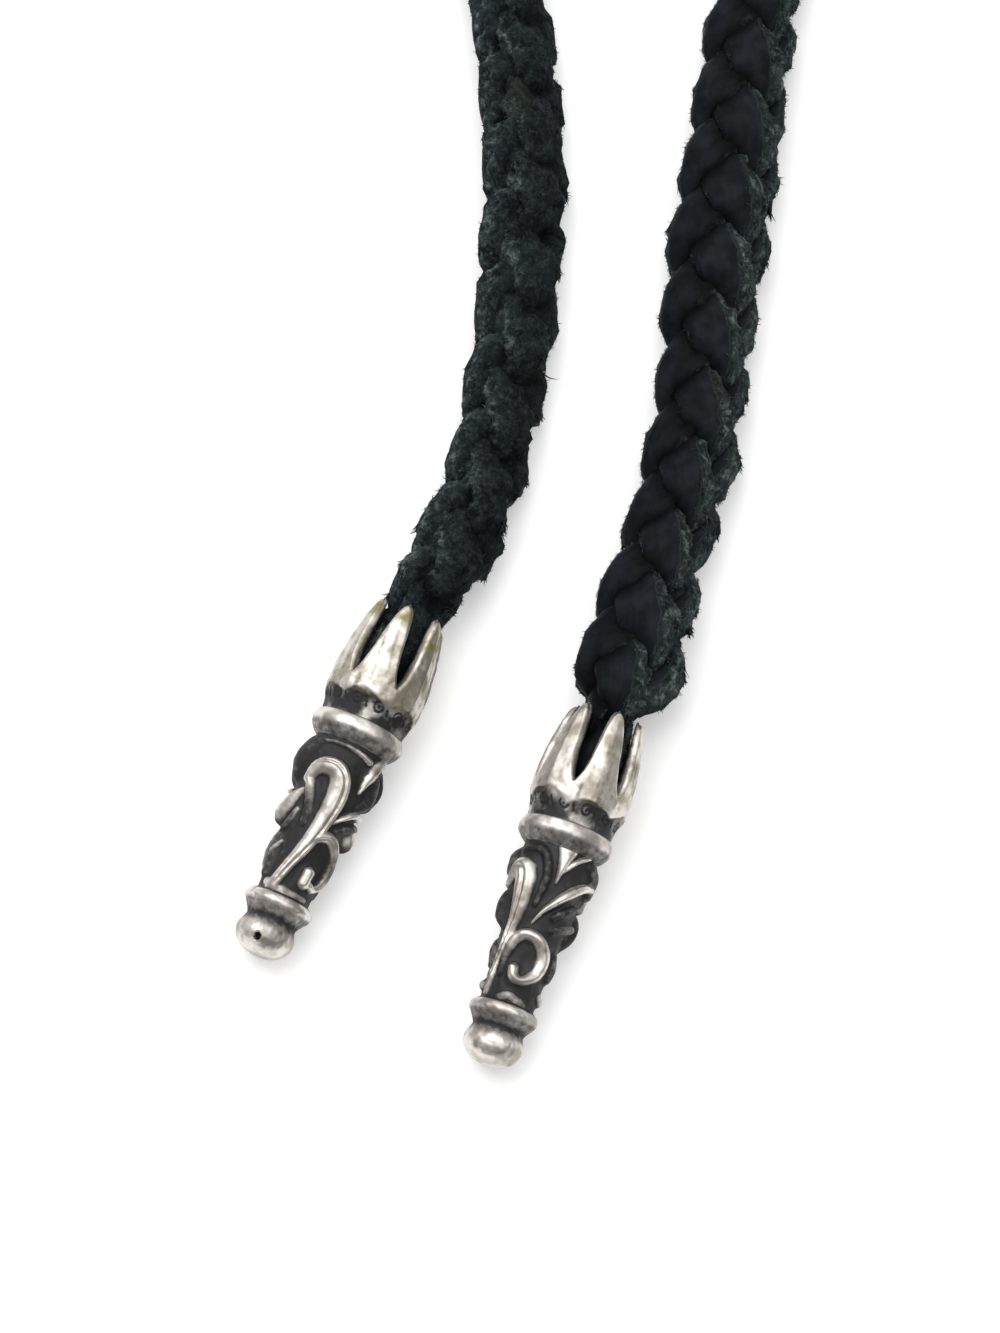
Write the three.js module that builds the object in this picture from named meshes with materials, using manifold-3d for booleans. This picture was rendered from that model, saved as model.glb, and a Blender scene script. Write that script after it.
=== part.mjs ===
// Braided leather necklace: one loop of round four-strand braid, lying flat, whose two
// free ends sit in cast silver tips with a claw cup, a collar, scrollwork and a ball.
// Millimetres, +Z up. The origin is on the surface, at the middle of the loop's outline.

import * as THREE from 'three';
import * as BufferGeometryUtils from 'three/addons/utils/BufferGeometryUtils.js';
import Module from 'manifold-3d';

const wasm = await Module();
wasm.setup();

// ---------- driving dimensions ----------

// The braid
const BRAID_RADIUS = 4.05;         // middle of lobe and hollow, halfway round the loop
const FULLNESS = { left: 0.98, right: 1.06 };  // the plait is a little looser at one end
const LOBE = 0.085;                // how far a lobe stands out, as a share of the radius
const LACE_PHASE = { left: 2, right: 103 };  // degrees: where a lace is at the braid's two ends
const REST_HEIGHT = 3.6;           // centre line over the surface: the underside is pressed flat
const BRAID_SIDES = 8;
const BRAID_END_DEPTH = 9.6;       // how far the braid reaches into each cup

// The silver tips: stations run along the axis, from the claw points to the end of the ball
const CLAWS = 6;
const SLOT_DEPTH = 7.7;
const CUP_FLOOR = 10.3;            // bottom of the cup's hollow
const COLLAR = { station: 13.2, radius: 4.55 };
const BODY = { top: 14.3, bottom: 29.9 };
const LOWER_RING = { station: 30.7, radius: 3.36 };
const BALL = { station: 33.6, radius: 2.75, halfLength: 2.0 };
const DRILLING = { radius: 0.38, depth: 1.5, towardsEnd: 24, aside: -13 };
const TIP_SEGMENTS = 28;

// Each tip lies on its collar and its lower ring. Its place is the middle of the collar, the
// heading is towards the braid, and the roll and the claws' turn are about its own axis.
const TIP_PLACES = {
  silver_tip_left: {
    x: -25.65, y: -160.1, heading: 23.8, roll: 7.5, clawTurn: -8.5, scrolls: 'hooked', drilled: true,
  },
  silver_tip_right: {
    x: -6.2, y: -170.5, heading: 19.2, roll: 6, clawTurn: 15, scrolls: 'curled', drilled: false,
  },
};

// The route of the braid's centre line between the two cups: its middle stretch, by hand.
const ROUTE = [
  { x: -18.6, y: -144.9, z: 4.9 },
  { x: -16.5, y: -141.2, z: 4.4 },
  { x: -13.8, y: -134.5, z: 3.8 },
  { x: -12.0, y: -126.4, z: REST_HEIGHT },
  { x: -10.6, y: -117.9, z: REST_HEIGHT },
  { x: -10.0, y: -109.7, z: REST_HEIGHT },
  { x: -9.7, y: -101.0, z: REST_HEIGHT },
  { x: -11.5, y: -82.0, z: REST_HEIGHT },
  { x: -18.0, y: -55.0, z: REST_HEIGHT },
  { x: -34.0, y: -15.0, z: REST_HEIGHT },
  { x: -54.0, y: 25.0, z: REST_HEIGHT },
  { x: -73.0, y: 64.0, z: REST_HEIGHT },
  { x: -84.5, y: 98.0, z: REST_HEIGHT },
  { x: -83.5, y: 131.0, z: REST_HEIGHT },
  { x: -68.0, y: 161.0, z: REST_HEIGHT },
  { x: -40.0, y: 180.5, z: REST_HEIGHT },
  { x: 0.0, y: 187.8, z: REST_HEIGHT },
  { x: 40.0, y: 180.5, z: REST_HEIGHT },
  { x: 68.0, y: 161.0, z: REST_HEIGHT },
  { x: 83.4, y: 131.0, z: REST_HEIGHT },
  { x: 84.4, y: 98.0, z: REST_HEIGHT },
  { x: 73.0, y: 64.0, z: REST_HEIGHT },
  { x: 55.0, y: 25.0, z: REST_HEIGHT },
  { x: 36.5, y: -15.0, z: REST_HEIGHT },
  { x: 21.0, y: -55.0, z: REST_HEIGHT },
  { x: 13.6, y: -82.0, z: REST_HEIGHT },
  { x: 10.6, y: -101.0, z: REST_HEIGHT },
  { x: 8.9, y: -111.5, z: REST_HEIGHT },
  { x: 7.8, y: -121.0, z: REST_HEIGHT },
  { x: 6.3, y: -131.0, z: 3.7 },
  { x: 3.6, y: -141.0, z: 4.0 },
  { x: 1.0, y: -149.5, z: 4.6 },
  { x: 0.1, y: -153.2, z: 5.0 },
];

// The twist of the plait, by share of its length from the left end: how long one full turn of
// a lace is, and how many degrees its rows of lobes are turned from the side towards the top
const TWIST = [
  { share: 0.00, pitch: 16.5, rows: 60 },
  { share: 0.03, pitch: 15.8, rows: 60 },
  { share: 0.08, pitch: 15.0, rows: 60 },
  { share: 0.20, pitch: 14.5, rows: 60 },
  { share: 0.80, pitch: 14.5, rows: 114 },
  { share: 0.92, pitch: 14.9, rows: 113 },
  { share: 0.98, pitch: 14.9, rows: 101 },
  { share: 1.00, pitch: 14.9, rows: 98 },
];

// How the braid narrows into a cup: distance outside the claw points, and radii at each end
const NECKING = [
  { out: -9.6, left: 2.85, right: 2.85 },
  { out: 0.0, left: 2.50, right: 2.50 },
  { out: 1.6, left: 3.20, right: 3.80 },
  { out: 4.5, left: 3.85, right: 4.60 },
  { out: 9.0, left: 4.00, right: 4.45 },
  { out: 18.0, left: 4.05, right: 4.30 },
];

// Outer profile of a tip, and the hollow of its cup
const TIP_PROFILE = [
  { station: 0.0, radius: 3.42 },
  { station: 1.8, radius: 3.98 },
  { station: 4.0, radius: 4.42 },
  { station: 6.4, radius: 4.68 },
  { station: 8.6, radius: 4.75 },
  { station: 10.2, radius: 4.50 },
  { station: 11.9, radius: 4.08 },
  { station: 12.2, radius: 4.35 },
  { station: COLLAR.station - 0.4, radius: COLLAR.radius },
  { station: COLLAR.station + 0.4, radius: COLLAR.radius },
  { station: 14.0, radius: 4.05 },
  { station: BODY.top, radius: 3.55 },
  { station: 16.5, radius: 3.65 },
  { station: 20.0, radius: 3.38 },
  { station: 25.0, radius: 2.90 },
  { station: BODY.bottom, radius: 2.60 },
  { station: 30.1, radius: 3.10 },
  { station: LOWER_RING.station, radius: LOWER_RING.radius },
  { station: 31.1, radius: 3.26 },
  { station: 31.8, radius: 2.35 },
];
const CUP_HOLLOW = [
  { station: 0.0, radius: 2.90 },
  { station: 1.8, radius: 3.20 },
  { station: 4.0, radius: 3.45 },
  { station: 8.6, radius: 3.45 },
  { station: CUP_FLOOR, radius: 3.30 },
];

// Half the outline of the slot between two claws
const SLOT_OUTLINE = [
  { station: -1.0, half: 1.52 },
  { station: 0.0, half: 1.52 },
  { station: 1.3, half: 1.18 },
  { station: 3.0, half: 1.06 },
  { station: 5.2, half: 0.88 },
  { station: 6.7, half: 0.52 },
];

// Raised scrollwork. Each scroll is a ridge through rows of: degrees around the body,
// millimetres below the collar, half its width and its height.
const SCROLLS = {
  hooked: {
    hooked_stalk: [
      { around: -48, down: 15.3, half: 0.35, rise: 0.45 },
      { around: -24, down: 13.1, half: 0.38, rise: 0.50 },
      { around: -7, down: 10.8, half: 0.42, rise: 0.55 },
      { around: 9, down: 8.2, half: 0.46, rise: 0.60 },
      { around: 17.5, down: 5.8, half: 0.52, rise: 0.65 },
      { around: 18.5, down: 3.7, half: 0.62, rise: 0.70 },
      { around: 10, down: 2.3, half: 0.72, rise: 0.75 },
      { around: -9.5, down: 1.9, half: 0.75, rise: 0.75 },
      { around: -27, down: 2.7, half: 0.62, rise: 0.70 },
      { around: -37, down: 4.2, half: 0.42, rise: 0.50 },
    ],
    shoulder_leaf: [
      { around: -72, down: 0.6, half: 0.40, rise: 0.40 },
      { around: -84, down: 2.4, half: 0.60, rise: 0.50 },
      { around: -78, down: 4.6, half: 0.25, rise: 0.35 },
    ],
    side_lobe: [
      { around: -44, down: 5.6, half: 0.28, rise: 0.40 },
      { around: -63, down: 7.0, half: 0.55, rise: 0.60 },
      { around: -84, down: 9.0, half: 0.42, rise: 0.45 },
    ],
    low_curl: [
      { around: -6, down: 11.9, half: 0.18, rise: 0.30 },
      { around: 10, down: 10.5, half: 0.32, rise: 0.50 },
      { around: 30, down: 9.7, half: 0.40, rise: 0.55 },
      { around: 56, down: 9.8, half: 0.42, rise: 0.55 },
      { around: 76, down: 11.2, half: 0.42, rise: 0.55 },
      { around: 80, down: 12.9, half: 0.38, rise: 0.50 },
      { around: 62, down: 14.2, half: 0.36, rise: 0.50 },
      { around: 38, down: 13.6, half: 0.48, rise: 0.60 },
    ],
    leaf_tongue: [
      { around: 33, down: 7.7, half: 0.15, rise: 0.30 },
      { around: 57, down: 6.6, half: 0.38, rise: 0.50 },
      { around: 86, down: 6.0, half: 0.42, rise: 0.50 },
    ],
    collar_leaf: [
      { around: 80, down: 0.4, half: 0.55, rise: 0.50 },
      { around: 66, down: 1.8, half: 0.40, rise: 0.50 },
      { around: 56, down: 3.4, half: 0.18, rise: 0.35 },
    ],
  },
  curled: {
    headed_stalk: [
      { around: -75, down: 14.3, half: 0.20, rise: 0.35 },
      { around: -58, down: 10.5, half: 0.28, rise: 0.45 },
      { around: -41, down: 7.3, half: 0.38, rise: 0.55 },
      { around: -30, down: 5.2, half: 0.52, rise: 0.65 },
      { around: -27, down: 3.3, half: 0.68, rise: 0.70 },
      { around: -38, down: 1.7, half: 0.68, rise: 0.70 },
      { around: -60, down: 2.1, half: 0.60, rise: 0.65 },
      { around: -82, down: 3.6, half: 0.40, rise: 0.50 },
    ],
    collar_leaf: [
      { around: 22, down: 0.3, half: 1.05, rise: 0.50 },
      { around: 17, down: 1.4, half: 0.62, rise: 0.50 },
      { around: 11, down: 3.1, half: 0.15, rise: 0.35 },
    ],
    leaf_tongue: [
      { around: -14, down: 7.4, half: 0.15, rise: 0.35 },
      { around: 9, down: 6.0, half: 0.36, rise: 0.50 },
      { around: 32, down: 4.5, half: 0.52, rise: 0.60 },
      { around: 64, down: 3.2, half: 0.42, rise: 0.50 },
    ],
    low_curl: [
      { around: -48, down: 10.0, half: 0.18, rise: 0.35 },
      { around: -33, down: 9.0, half: 0.32, rise: 0.50 },
      { around: -14, down: 8.4, half: 0.42, rise: 0.58 },
      { around: 10, down: 8.5, half: 0.45, rise: 0.60 },
      { around: 32, down: 9.5, half: 0.46, rise: 0.60 },
      { around: 42, down: 10.9, half: 0.46, rise: 0.60 },
      { around: 33, down: 12.3, half: 0.43, rise: 0.58 },
      { around: 11, down: 13.2, half: 0.40, rise: 0.55 },
      { around: -12, down: 13.0, half: 0.40, rise: 0.55 },
      { around: -20, down: 12.0, half: 0.44, rise: 0.50 },
    ],
    edge_leaf: [
      { around: 60, down: 7.0, half: 0.25, rise: 0.35 },
      { around: 80, down: 8.4, half: 0.45, rise: 0.42 },
      { around: 88, down: 10.6, half: 0.35, rise: 0.32 },
    ],
  },
};

const leather = new THREE.MeshStandardMaterial({ color: 0x1b2023, roughness: 0.8, metalness: 0 });
const silver = new THREE.MeshStandardMaterial({ color: 0xc9c4bd, roughness: 0.3, metalness: 1 });

// ---------- small helpers ----------

const radians = THREE.MathUtils.degToRad;

// Straight-line lookup in a table sorted by one column.
function lookUp(table, key, column, at) {
  const last = table.length - 1;
  if (at <= table[0][key]) return table[0][column];
  if (at >= table[last][key]) return table[last][column];
  const i = table.findIndex((row) => row[key] >= at);
  const [a, b] = [table[i - 1], table[i]];
  return THREE.MathUtils.mapLinear(at, a[key], b[key], a[column], b[column]);
}

function solidOf(geometry) {
  geometry.deleteAttribute('normal');
  geometry.deleteAttribute('uv');
  const merged = BufferGeometryUtils.mergeVertices(geometry, 1e-4);
  return new wasm.Manifold(new wasm.Mesh({
    numProp: 3,
    vertProperties: new Float32Array(merged.attributes.position.array),
    triVerts: new Uint32Array(merged.index.array),
  }));
}

function geometryOf(solid) {
  const mesh = solid.getMesh();
  const geometry = new THREE.BufferGeometry();
  geometry.setAttribute('position', new THREE.BufferAttribute(mesh.vertProperties, 3));
  geometry.setIndex(new THREE.BufferAttribute(mesh.triVerts, 1));
  return geometry;
}

// A closed skin over rings of points, all with the same number of sides.
function loft(rings) {
  const sides = rings[0].length;
  const last = rings.length - 1;
  const middle = (ring) => ring.reduce((sum, p) => sum.add(p), new THREE.Vector3()).divideScalar(sides);
  const points = [...rings.flat(), middle(rings[0]), middle(rings[last])];
  const [startCap, endCap] = [points.length - 2, points.length - 1];
  const index = [];
  for (let j = 0; j < sides; j += 1) {
    const k = (j + 1) % sides;
    for (let i = 0; i < last; i += 1) {
      const [a, b] = [i * sides + j, i * sides + k];
      index.push(a, b + sides, b, a, a + sides, b + sides);
    }
    index.push(startCap, j, k, endCap, last * sides + k, last * sides + j);
  }
  const geometry = new THREE.BufferGeometry().setFromPoints(points);
  geometry.setIndex(index);
  return geometry;
}

// ---------- where the tips lie ----------

// The axis of a tip rises from the lower ring to the wider collar, as both touch the surface.
const TIP_RISE = (COLLAR.radius - LOWER_RING.radius) / (LOWER_RING.station - COLLAR.station);
const TIP_SLOPE = Math.asin(TIP_RISE);

function tipFrame({ x, y, heading, roll }) {
  const along = new THREE.Vector3(
    Math.sin(radians(heading)) * Math.cos(TIP_SLOPE),
    Math.cos(radians(heading)) * Math.cos(TIP_SLOPE),
    Math.sin(TIP_SLOPE),
  );
  const across = new THREE.Vector3(along.y, -along.x, 0).normalize()
    .applyAxisAngle(along, radians(roll));
  const up = new THREE.Vector3().crossVectors(across, along);
  const height = COLLAR.radius / Math.cos(TIP_SLOPE);
  const mouth = new THREE.Vector3(x, y, height).addScaledVector(along, COLLAR.station);
  return { along, across, up, mouth };
}

// ---------- the braid ----------

// A smooth line through points: cubic pieces whose slope at a point is the slope of the
// chord between its two neighbours, sampled by equal steps of the chord length.
function smoothLine(points, step) {
  const t = [0];
  points.slice(1).forEach((p, i) => t.push(t[i] + p.distanceTo(points[i])));
  const last = points.length - 1;
  const slope = (i) => {
    const [a, b] = [Math.max(i - 1, 0), Math.min(i + 1, last)];
    return points[b].clone().sub(points[a]).divideScalar(t[b] - t[a]);
  };
  const line = [];
  for (let i = 0; i < last; i += 1) {
    const span = t[i + 1] - t[i];
    const count = Math.ceil(span / step);
    for (let n = 0; n < count; n += 1) {
      const u = n / count;
      line.push(points[i].clone().multiplyScalar((1 + 2 * u) * (1 - u) ** 2)
        .addScaledVector(slope(i), span * u * (1 - u) ** 2)
        .addScaledVector(points[i + 1], u * u * (3 - 2 * u))
        .addScaledVector(slope(i + 1), span * u * u * (u - 1)));
    }
  }
  line.push(points[last].clone());
  return line;
}

// The centre line: in the left cup, round the loop, into the right cup.
function braidLine(left, right) {
  const inCup = (tip, depth) => tip.mouth.clone().addScaledVector(tip.along, -depth);
  const depths = [BRAID_END_DEPTH, 5, 0];
  const points = [
    ...depths.map((depth) => inCup(left, depth)),
    ...ROUTE.map(({ x, y, z }) => new THREE.Vector3(x, y, z)),
    ...depths.toReversed().map((depth) => inCup(right, depth)),
  ];
  return smoothLine(points, 0.5);
}

// How far along the braid a lace has made each quarter turn. Quarter turns are counted from the
// left end by the local pitch, and a small smooth correction in the back of the loop makes
// the right end come out too: the pattern repeats every half turn.
function quarterTurns(total) {
  const step = 0.5;
  const stations = Array.from({ length: Math.ceil(total / step) + 1 }, (_, i) => Math.min(i * step, total));
  const turns = [LACE_PHASE.left];
  stations.slice(1).forEach((s, i) => {
    turns.push(turns[i] + (360 * (s - stations[i])) / lookUp(TWIST, 'share', 'pitch', s / total));
  });
  const missing = THREE.MathUtils.euclideanModulo(LACE_PHASE.right - turns.at(-1) + 90, 180) - 90;
  const turned = turns.map((turn, i) => (
    turn + missing * THREE.MathUtils.smoothstep(stations[i] / total, 0.25, 0.75)));
  const found = [];
  for (let n = Math.ceil(turned[0] / 90); n * 90 < turned.at(-1); n += 1) {
    const i = turned.findIndex((turn) => turn >= n * 90);
    const s = THREE.MathUtils.mapLinear(n * 90, turned[i - 1], turned[i], stations[i - 1], stations[i]);
    found.push({ s, swing: n % 2 === 0 ? 1 : -1 });
  }
  return found;
}

function girthAt(s, total) {
  const out = Math.min(s, total - s) - BRAID_END_DEPTH;
  return out > NECKING.at(-1).out
    ? BRAID_RADIUS * THREE.MathUtils.lerp(FULLNESS.left, FULLNESS.right, s / total)
    : lookUp(NECKING, 'out', s < total / 2 ? 'left' : 'right', out);
}

// Rings at both ends, at the mouths of the cups and at every quarter turn of a lace between
// them: there the four rows of lobes stand out in turn, two opposite rows at one ring and the
// two between them at the next.
function braidRings(line) {
  const along = [0];
  line.slice(1).forEach((p, i) => along.push(along[i] + p.distanceTo(line[i])));
  const total = along.at(-1);
  const outside = BRAID_END_DEPTH + 1.2;
  const places = [
    { s: 0, swing: 0 },
    { s: BRAID_END_DEPTH, swing: 0 },
    ...quarterTurns(total).filter(({ s }) => s > outside && s < total - outside),
    { s: total - BRAID_END_DEPTH, swing: 0 },
    { s: total - 1e-6, swing: 0 },
  ];
  return places.map(({ s, swing }) => {
    const i = Math.max(along.findIndex((distance) => distance > s) - 1, 0);
    const centre = line[i].clone().lerp(line[i + 1], (s - along[i]) / (along[i + 1] - along[i]));
    const heading = line[i + 1].clone().sub(line[i]).normalize();
    const side = new THREE.Vector3(heading.y, -heading.x, 0).normalize();
    const up = new THREE.Vector3().crossVectors(side, heading);
    const rowTurn = radians(lookUp(TWIST, 'share', 'rows', s / total));
    return Array.from({ length: BRAID_SIDES }, (_, j) => {
      const angle = ((j + 0.5) * 2 * Math.PI) / BRAID_SIDES;
      const underside = Math.sin(angle) < -0.9;
      const bulge = underside ? 0 : LOBE * swing * Math.cos(2 * (angle - rowTurn));
      const radius = girthAt(s, total) * (1 + bulge);
      const point = centre.clone()
        .addScaledVector(side, radius * Math.cos(angle))
        .addScaledVector(up, radius * Math.sin(angle));
      point.z = Math.max(point.z, 0);
      return point;
    });
  });
}

// ---------- the silver tips ----------

// A tip's own frame: +Y towards the braid, the claw points at y = 0, +Z facing up.
function lathe(rows, segments) {
  const outline = rows.map(({ station, radius }) => new THREE.Vector2(radius, -station));
  return solidOf(new THREE.LatheGeometry(outline.toReversed(), segments));
}

function tipBlank() {
  const steps = 7;
  const start = radians(-38);
  const ball = Array.from({ length: steps + 1 }, (_, i) => {
    const angle = THREE.MathUtils.lerp(start, Math.PI / 2, i / steps);
    return {
      station: BALL.station + BALL.halfLength * Math.sin(angle),
      radius: BALL.radius * Math.cos(angle),
    };
  });
  ball[steps].radius = 0;
  return lathe([{ station: 0, radius: 0 }, ...TIP_PROFILE, ...ball], TIP_SEGMENTS);
}

function cupHollow() {
  const rim = { station: -1, radius: 2.75 };
  const onAxis = [{ station: CUP_FLOOR, radius: 0 }];
  return lathe([{ station: -1, radius: 0 }, rim, ...CUP_HOLLOW, ...onAxis], TIP_SEGMENTS);
}

function slotCutter(turn) {
  const point = [{ station: SLOT_DEPTH, half: 0 }];
  const mirrored = SLOT_OUTLINE.toReversed().map(({ station, half }) => ({ station, half: -half }));
  const outline = [...SLOT_OUTLINE, ...point, ...mirrored]
    .map(({ station, half }) => new THREE.Vector2(half, -station));
  const slot = new THREE.ExtrudeGeometry(new THREE.Shape(outline), { depth: 7, bevelEnabled: false });
  slot.translate(0, 0, 0.5).rotateY(turn);
  return solidOf(slot);
}

function drilling() {
  const hole = new THREE.CylinderGeometry(DRILLING.radius, DRILLING.radius, 2 * DRILLING.depth, 10);
  hole.rotateX(Math.PI / 2).translate(0, 0, BALL.radius - 0.2);
  hole.rotateX(radians(DRILLING.towardsEnd)).rotateY(radians(DRILLING.aside));
  hole.translate(0, -BALL.station, 0);
  return solidOf(hole);
}

// A ridge that follows its rows over the body, round on top and sunk into the ground below.
function scroll(rows, turn) {
  const sink = 0.22;
  const sides = 6;
  const onBody = ({ around, down }) => {
    const ground = lookUp(TIP_PROFILE, 'station', 'radius', BODY.top + 0.01 + down) - sink;
    const angle = radians(around) + turn;
    return new THREE.Vector3(ground * Math.sin(angle), -(BODY.top + down), ground * Math.cos(angle));
  };
  const centres = rows.map(onBody);
  const last = rows.length - 1;
  const rings = rows.map(({ half, rise }, i) => {
    const heading = centres[Math.min(i + 1, last)].clone().sub(centres[Math.max(i - 1, 0)]).normalize();
    const out = new THREE.Vector3(centres[i].x, 0, centres[i].z).normalize();
    const side = new THREE.Vector3().crossVectors(heading, out).normalize();
    return Array.from({ length: sides }, (_, j) => {
      const angle = (j * 2 * Math.PI) / sides + Math.PI / 2;
      return centres[i].clone()
        .addScaledVector(side, half * 1.1 * Math.cos(angle))
        .addScaledVector(out, (rise + sink) * Math.sin(angle));
    });
  });
  return solidOf(loft(rings).toNonIndexed());
}

function silverTip({ clawTurn, scrolls, drilled }) {
  let solid = tipBlank().subtract(cupHollow());
  for (let k = 0; k < CLAWS; k += 1) {
    solid = solid.subtract(slotCutter(radians(clawTurn) + ((k + 0.5) * 2 * Math.PI) / CLAWS));
  }
  for (const turn of [0, Math.PI]) {
    for (const rows of Object.values(SCROLLS[scrolls])) {
      solid = solid.add(scroll(rows, turn));
    }
  }
  if (drilled) solid = solid.subtract(drilling());
  return geometryOf(solid);
}

// ---------- the necklace ----------

const necklace = new THREE.Group();

const frames = Object.values(TIP_PLACES).map(tipFrame);
Object.entries(TIP_PLACES).forEach(([name, place], i) => {
  const { across, along, up, mouth } = frames[i];
  const tip = new THREE.Mesh(silverTip(place), silver);
  tip.name = name;
  tip.applyMatrix4(new THREE.Matrix4().makeBasis(across, along, up).setPosition(mouth));
  necklace.add(tip);
});

const braid = new THREE.Mesh(loft(braidRings(braidLine(...frames))), leather);
braid.name = 'braid';
necklace.add(braid);

export default necklace;
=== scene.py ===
# %% [markdown]
# # A braided leather necklace with two silver tips
# The necklace is one round plait of four square black laces, laid in an open loop. Each free
# end is held by the claws of a cast silver tip. This lesson builds the plait, the nap on its
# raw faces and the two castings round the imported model. Every surface is worked out with numpy.

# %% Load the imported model
import math

import bpy
import numpy as np
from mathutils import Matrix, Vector


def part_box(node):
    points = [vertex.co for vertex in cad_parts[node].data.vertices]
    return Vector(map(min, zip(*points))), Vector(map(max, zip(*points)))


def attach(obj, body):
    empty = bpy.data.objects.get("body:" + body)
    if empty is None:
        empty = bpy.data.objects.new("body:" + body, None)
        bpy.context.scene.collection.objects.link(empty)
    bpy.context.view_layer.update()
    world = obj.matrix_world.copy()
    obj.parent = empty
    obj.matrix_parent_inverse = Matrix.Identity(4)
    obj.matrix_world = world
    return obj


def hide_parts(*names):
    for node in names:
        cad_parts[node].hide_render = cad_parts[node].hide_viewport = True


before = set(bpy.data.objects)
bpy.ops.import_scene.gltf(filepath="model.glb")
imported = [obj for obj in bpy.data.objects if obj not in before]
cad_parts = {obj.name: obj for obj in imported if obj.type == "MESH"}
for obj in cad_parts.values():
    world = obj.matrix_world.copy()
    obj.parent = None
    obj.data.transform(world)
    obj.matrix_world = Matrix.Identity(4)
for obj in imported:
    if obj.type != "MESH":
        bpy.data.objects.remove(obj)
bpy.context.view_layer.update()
MM = 0.001

# %% Helpers for directions and meshes
rng = np.random.default_rng(7)


def unit(v):
    """Vectors divided by their lengths, along the last axis."""
    return v / np.linalg.norm(v, axis=-1, keepdims=True)


def ease(x, low, high):
    """0 below low, 1 above high, and 3u^2 - 2u^3 between them."""
    u = np.clip((x - low) / (high - low), 0, 1)
    return u * u * (3 - 2 * u)


def run_along(points):
    """How far each point of a polyline is from its start, along it."""
    steps = np.linalg.norm(np.diff(points, axis=0), axis=1)
    return np.concatenate([[0], np.cumsum(steps)])


def new_piece(name, points, *face_groups):
    """A smooth mesh at the origin, from an (n, 3) array and groups of faces. A group is an array
    with one row of point numbers for each face."""
    loops = np.concatenate([group.ravel() for group in face_groups]).astype(np.int32)
    counts = np.concatenate([np.full(len(group), group.shape[1]) for group in face_groups])
    mesh = bpy.data.meshes.new(name)
    mesh.vertices.add(len(points))
    mesh.vertices.foreach_set("co", points.astype(np.float32).ravel())
    mesh.loops.add(len(loops))
    mesh.loops.foreach_set("vertex_index", loops)
    mesh.polygons.add(len(counts))
    mesh.polygons.foreach_set("loop_start", (np.cumsum(counts) - counts).astype(np.int32))
    mesh.polygons.foreach_set("use_smooth", np.ones(len(counts), bool))
    mesh.update(calc_edges=True)
    piece = bpy.data.objects.new(name, mesh)
    bpy.context.scene.collection.objects.link(piece)
    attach(piece, "root")
    return piece


def set_attribute(piece, name, values):
    """One number for each point of the mesh, for its material to read."""
    layer = piece.data.attributes.new(name, "FLOAT", "POINT")
    layer.data.foreach_set("value", values.astype(np.float32).ravel())


def grid_numbers(rows, columns):
    """The row and the column of every place on a grid, as two flat arrays."""
    return [a.ravel() for a in np.meshgrid(np.arange(rows), np.arange(columns), indexing="ij")]


def quads_at(i, j, columns):
    """Quads from row i to the next row and from column j to the next, where the last column
    meets the first. They point outwards if columns run counter-clockwise as seen against the
    way the rows go."""
    k = (j + 1) % columns
    return np.stack([i * columns + j, i * columns + k, (i + 1) * columns + k,
                     (i + 1) * columns + j], axis=1)


# %% Helpers for materials
def add_node(tree, kind, inputs=None, **settings):
    """A node with its settings, whose inputs are values or other nodes' outputs."""
    made = tree.nodes.new(kind)
    for key, value in settings.items():
        setattr(made, key, value)
    for key, value in (inputs or {}).items():
        if isinstance(value, bpy.types.NodeSocket):
            tree.links.new(value, made.inputs[key])
        else:
            made.inputs[key].default_value = value
    return made


def new_material(name, **constants):
    """A material with one Principled shader, and the values that are the same all over it."""
    material = bpy.data.materials.new(name)
    material.use_nodes = True
    shader = material.node_tree.nodes["Principled BSDF"]
    for key, value in constants.items():
        shader.inputs[key.replace("_", " ")].default_value = value
    return material, material.node_tree, shader


def new_group(name, inputs, outputs):
    """An empty node group with number or colour sockets. Returns it and its two end nodes."""
    group = bpy.data.node_groups.new(name, "ShaderNodeTree")
    for socket, (kind, value) in inputs.items():
        made = group.interface.new_socket(socket, in_out="INPUT", socket_type="NodeSocket" + kind)
        if value is not None:
            made.default_value = value
    for socket, kind in outputs.items():
        group.interface.new_socket(socket, in_out="OUTPUT", socket_type="NodeSocket" + kind)
    return group, group.nodes.new("NodeGroupInput"), group.nodes.new("NodeGroupOutput")


def use_group(tree, group, inputs):
    """The group as a node of a material, with its inputs set."""
    return add_node(tree, "ShaderNodeGroup", inputs, node_tree=group)


def attribute(tree, name):
    """The number that set_attribute gave to each point, as a node's output."""
    return add_node(tree, "ShaderNodeAttribute", attribute_name=name).outputs["Fac"]


# %% [markdown]
# ## The camera and the studio
# The necklace lies on a pale floor and is seen from high above its two tips through a long
# lens. Silver shows what is round it, so the studio is bright overhead and dim at the sides.

# %% Camera
ELEVATION = math.radians(72)
CAMERA_DISTANCE = 420 * MM
LENS_MM, SENSOR_MM = 120, 36
AIM_FROM_TIPS = np.array([5.525, 16.5, 4.0]) * MM


def aim_point():
    """The middle of both tips' box on the surface, moved by AIM_FROM_TIPS."""
    tips = ("silver_tip_left", "silver_tip_right")
    corners = np.array([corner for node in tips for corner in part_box(node)])
    middle = (corners.min(axis=0) + corners.max(axis=0)) / 2
    return middle * [1, 1, 0] + AIM_FROM_TIPS


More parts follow.
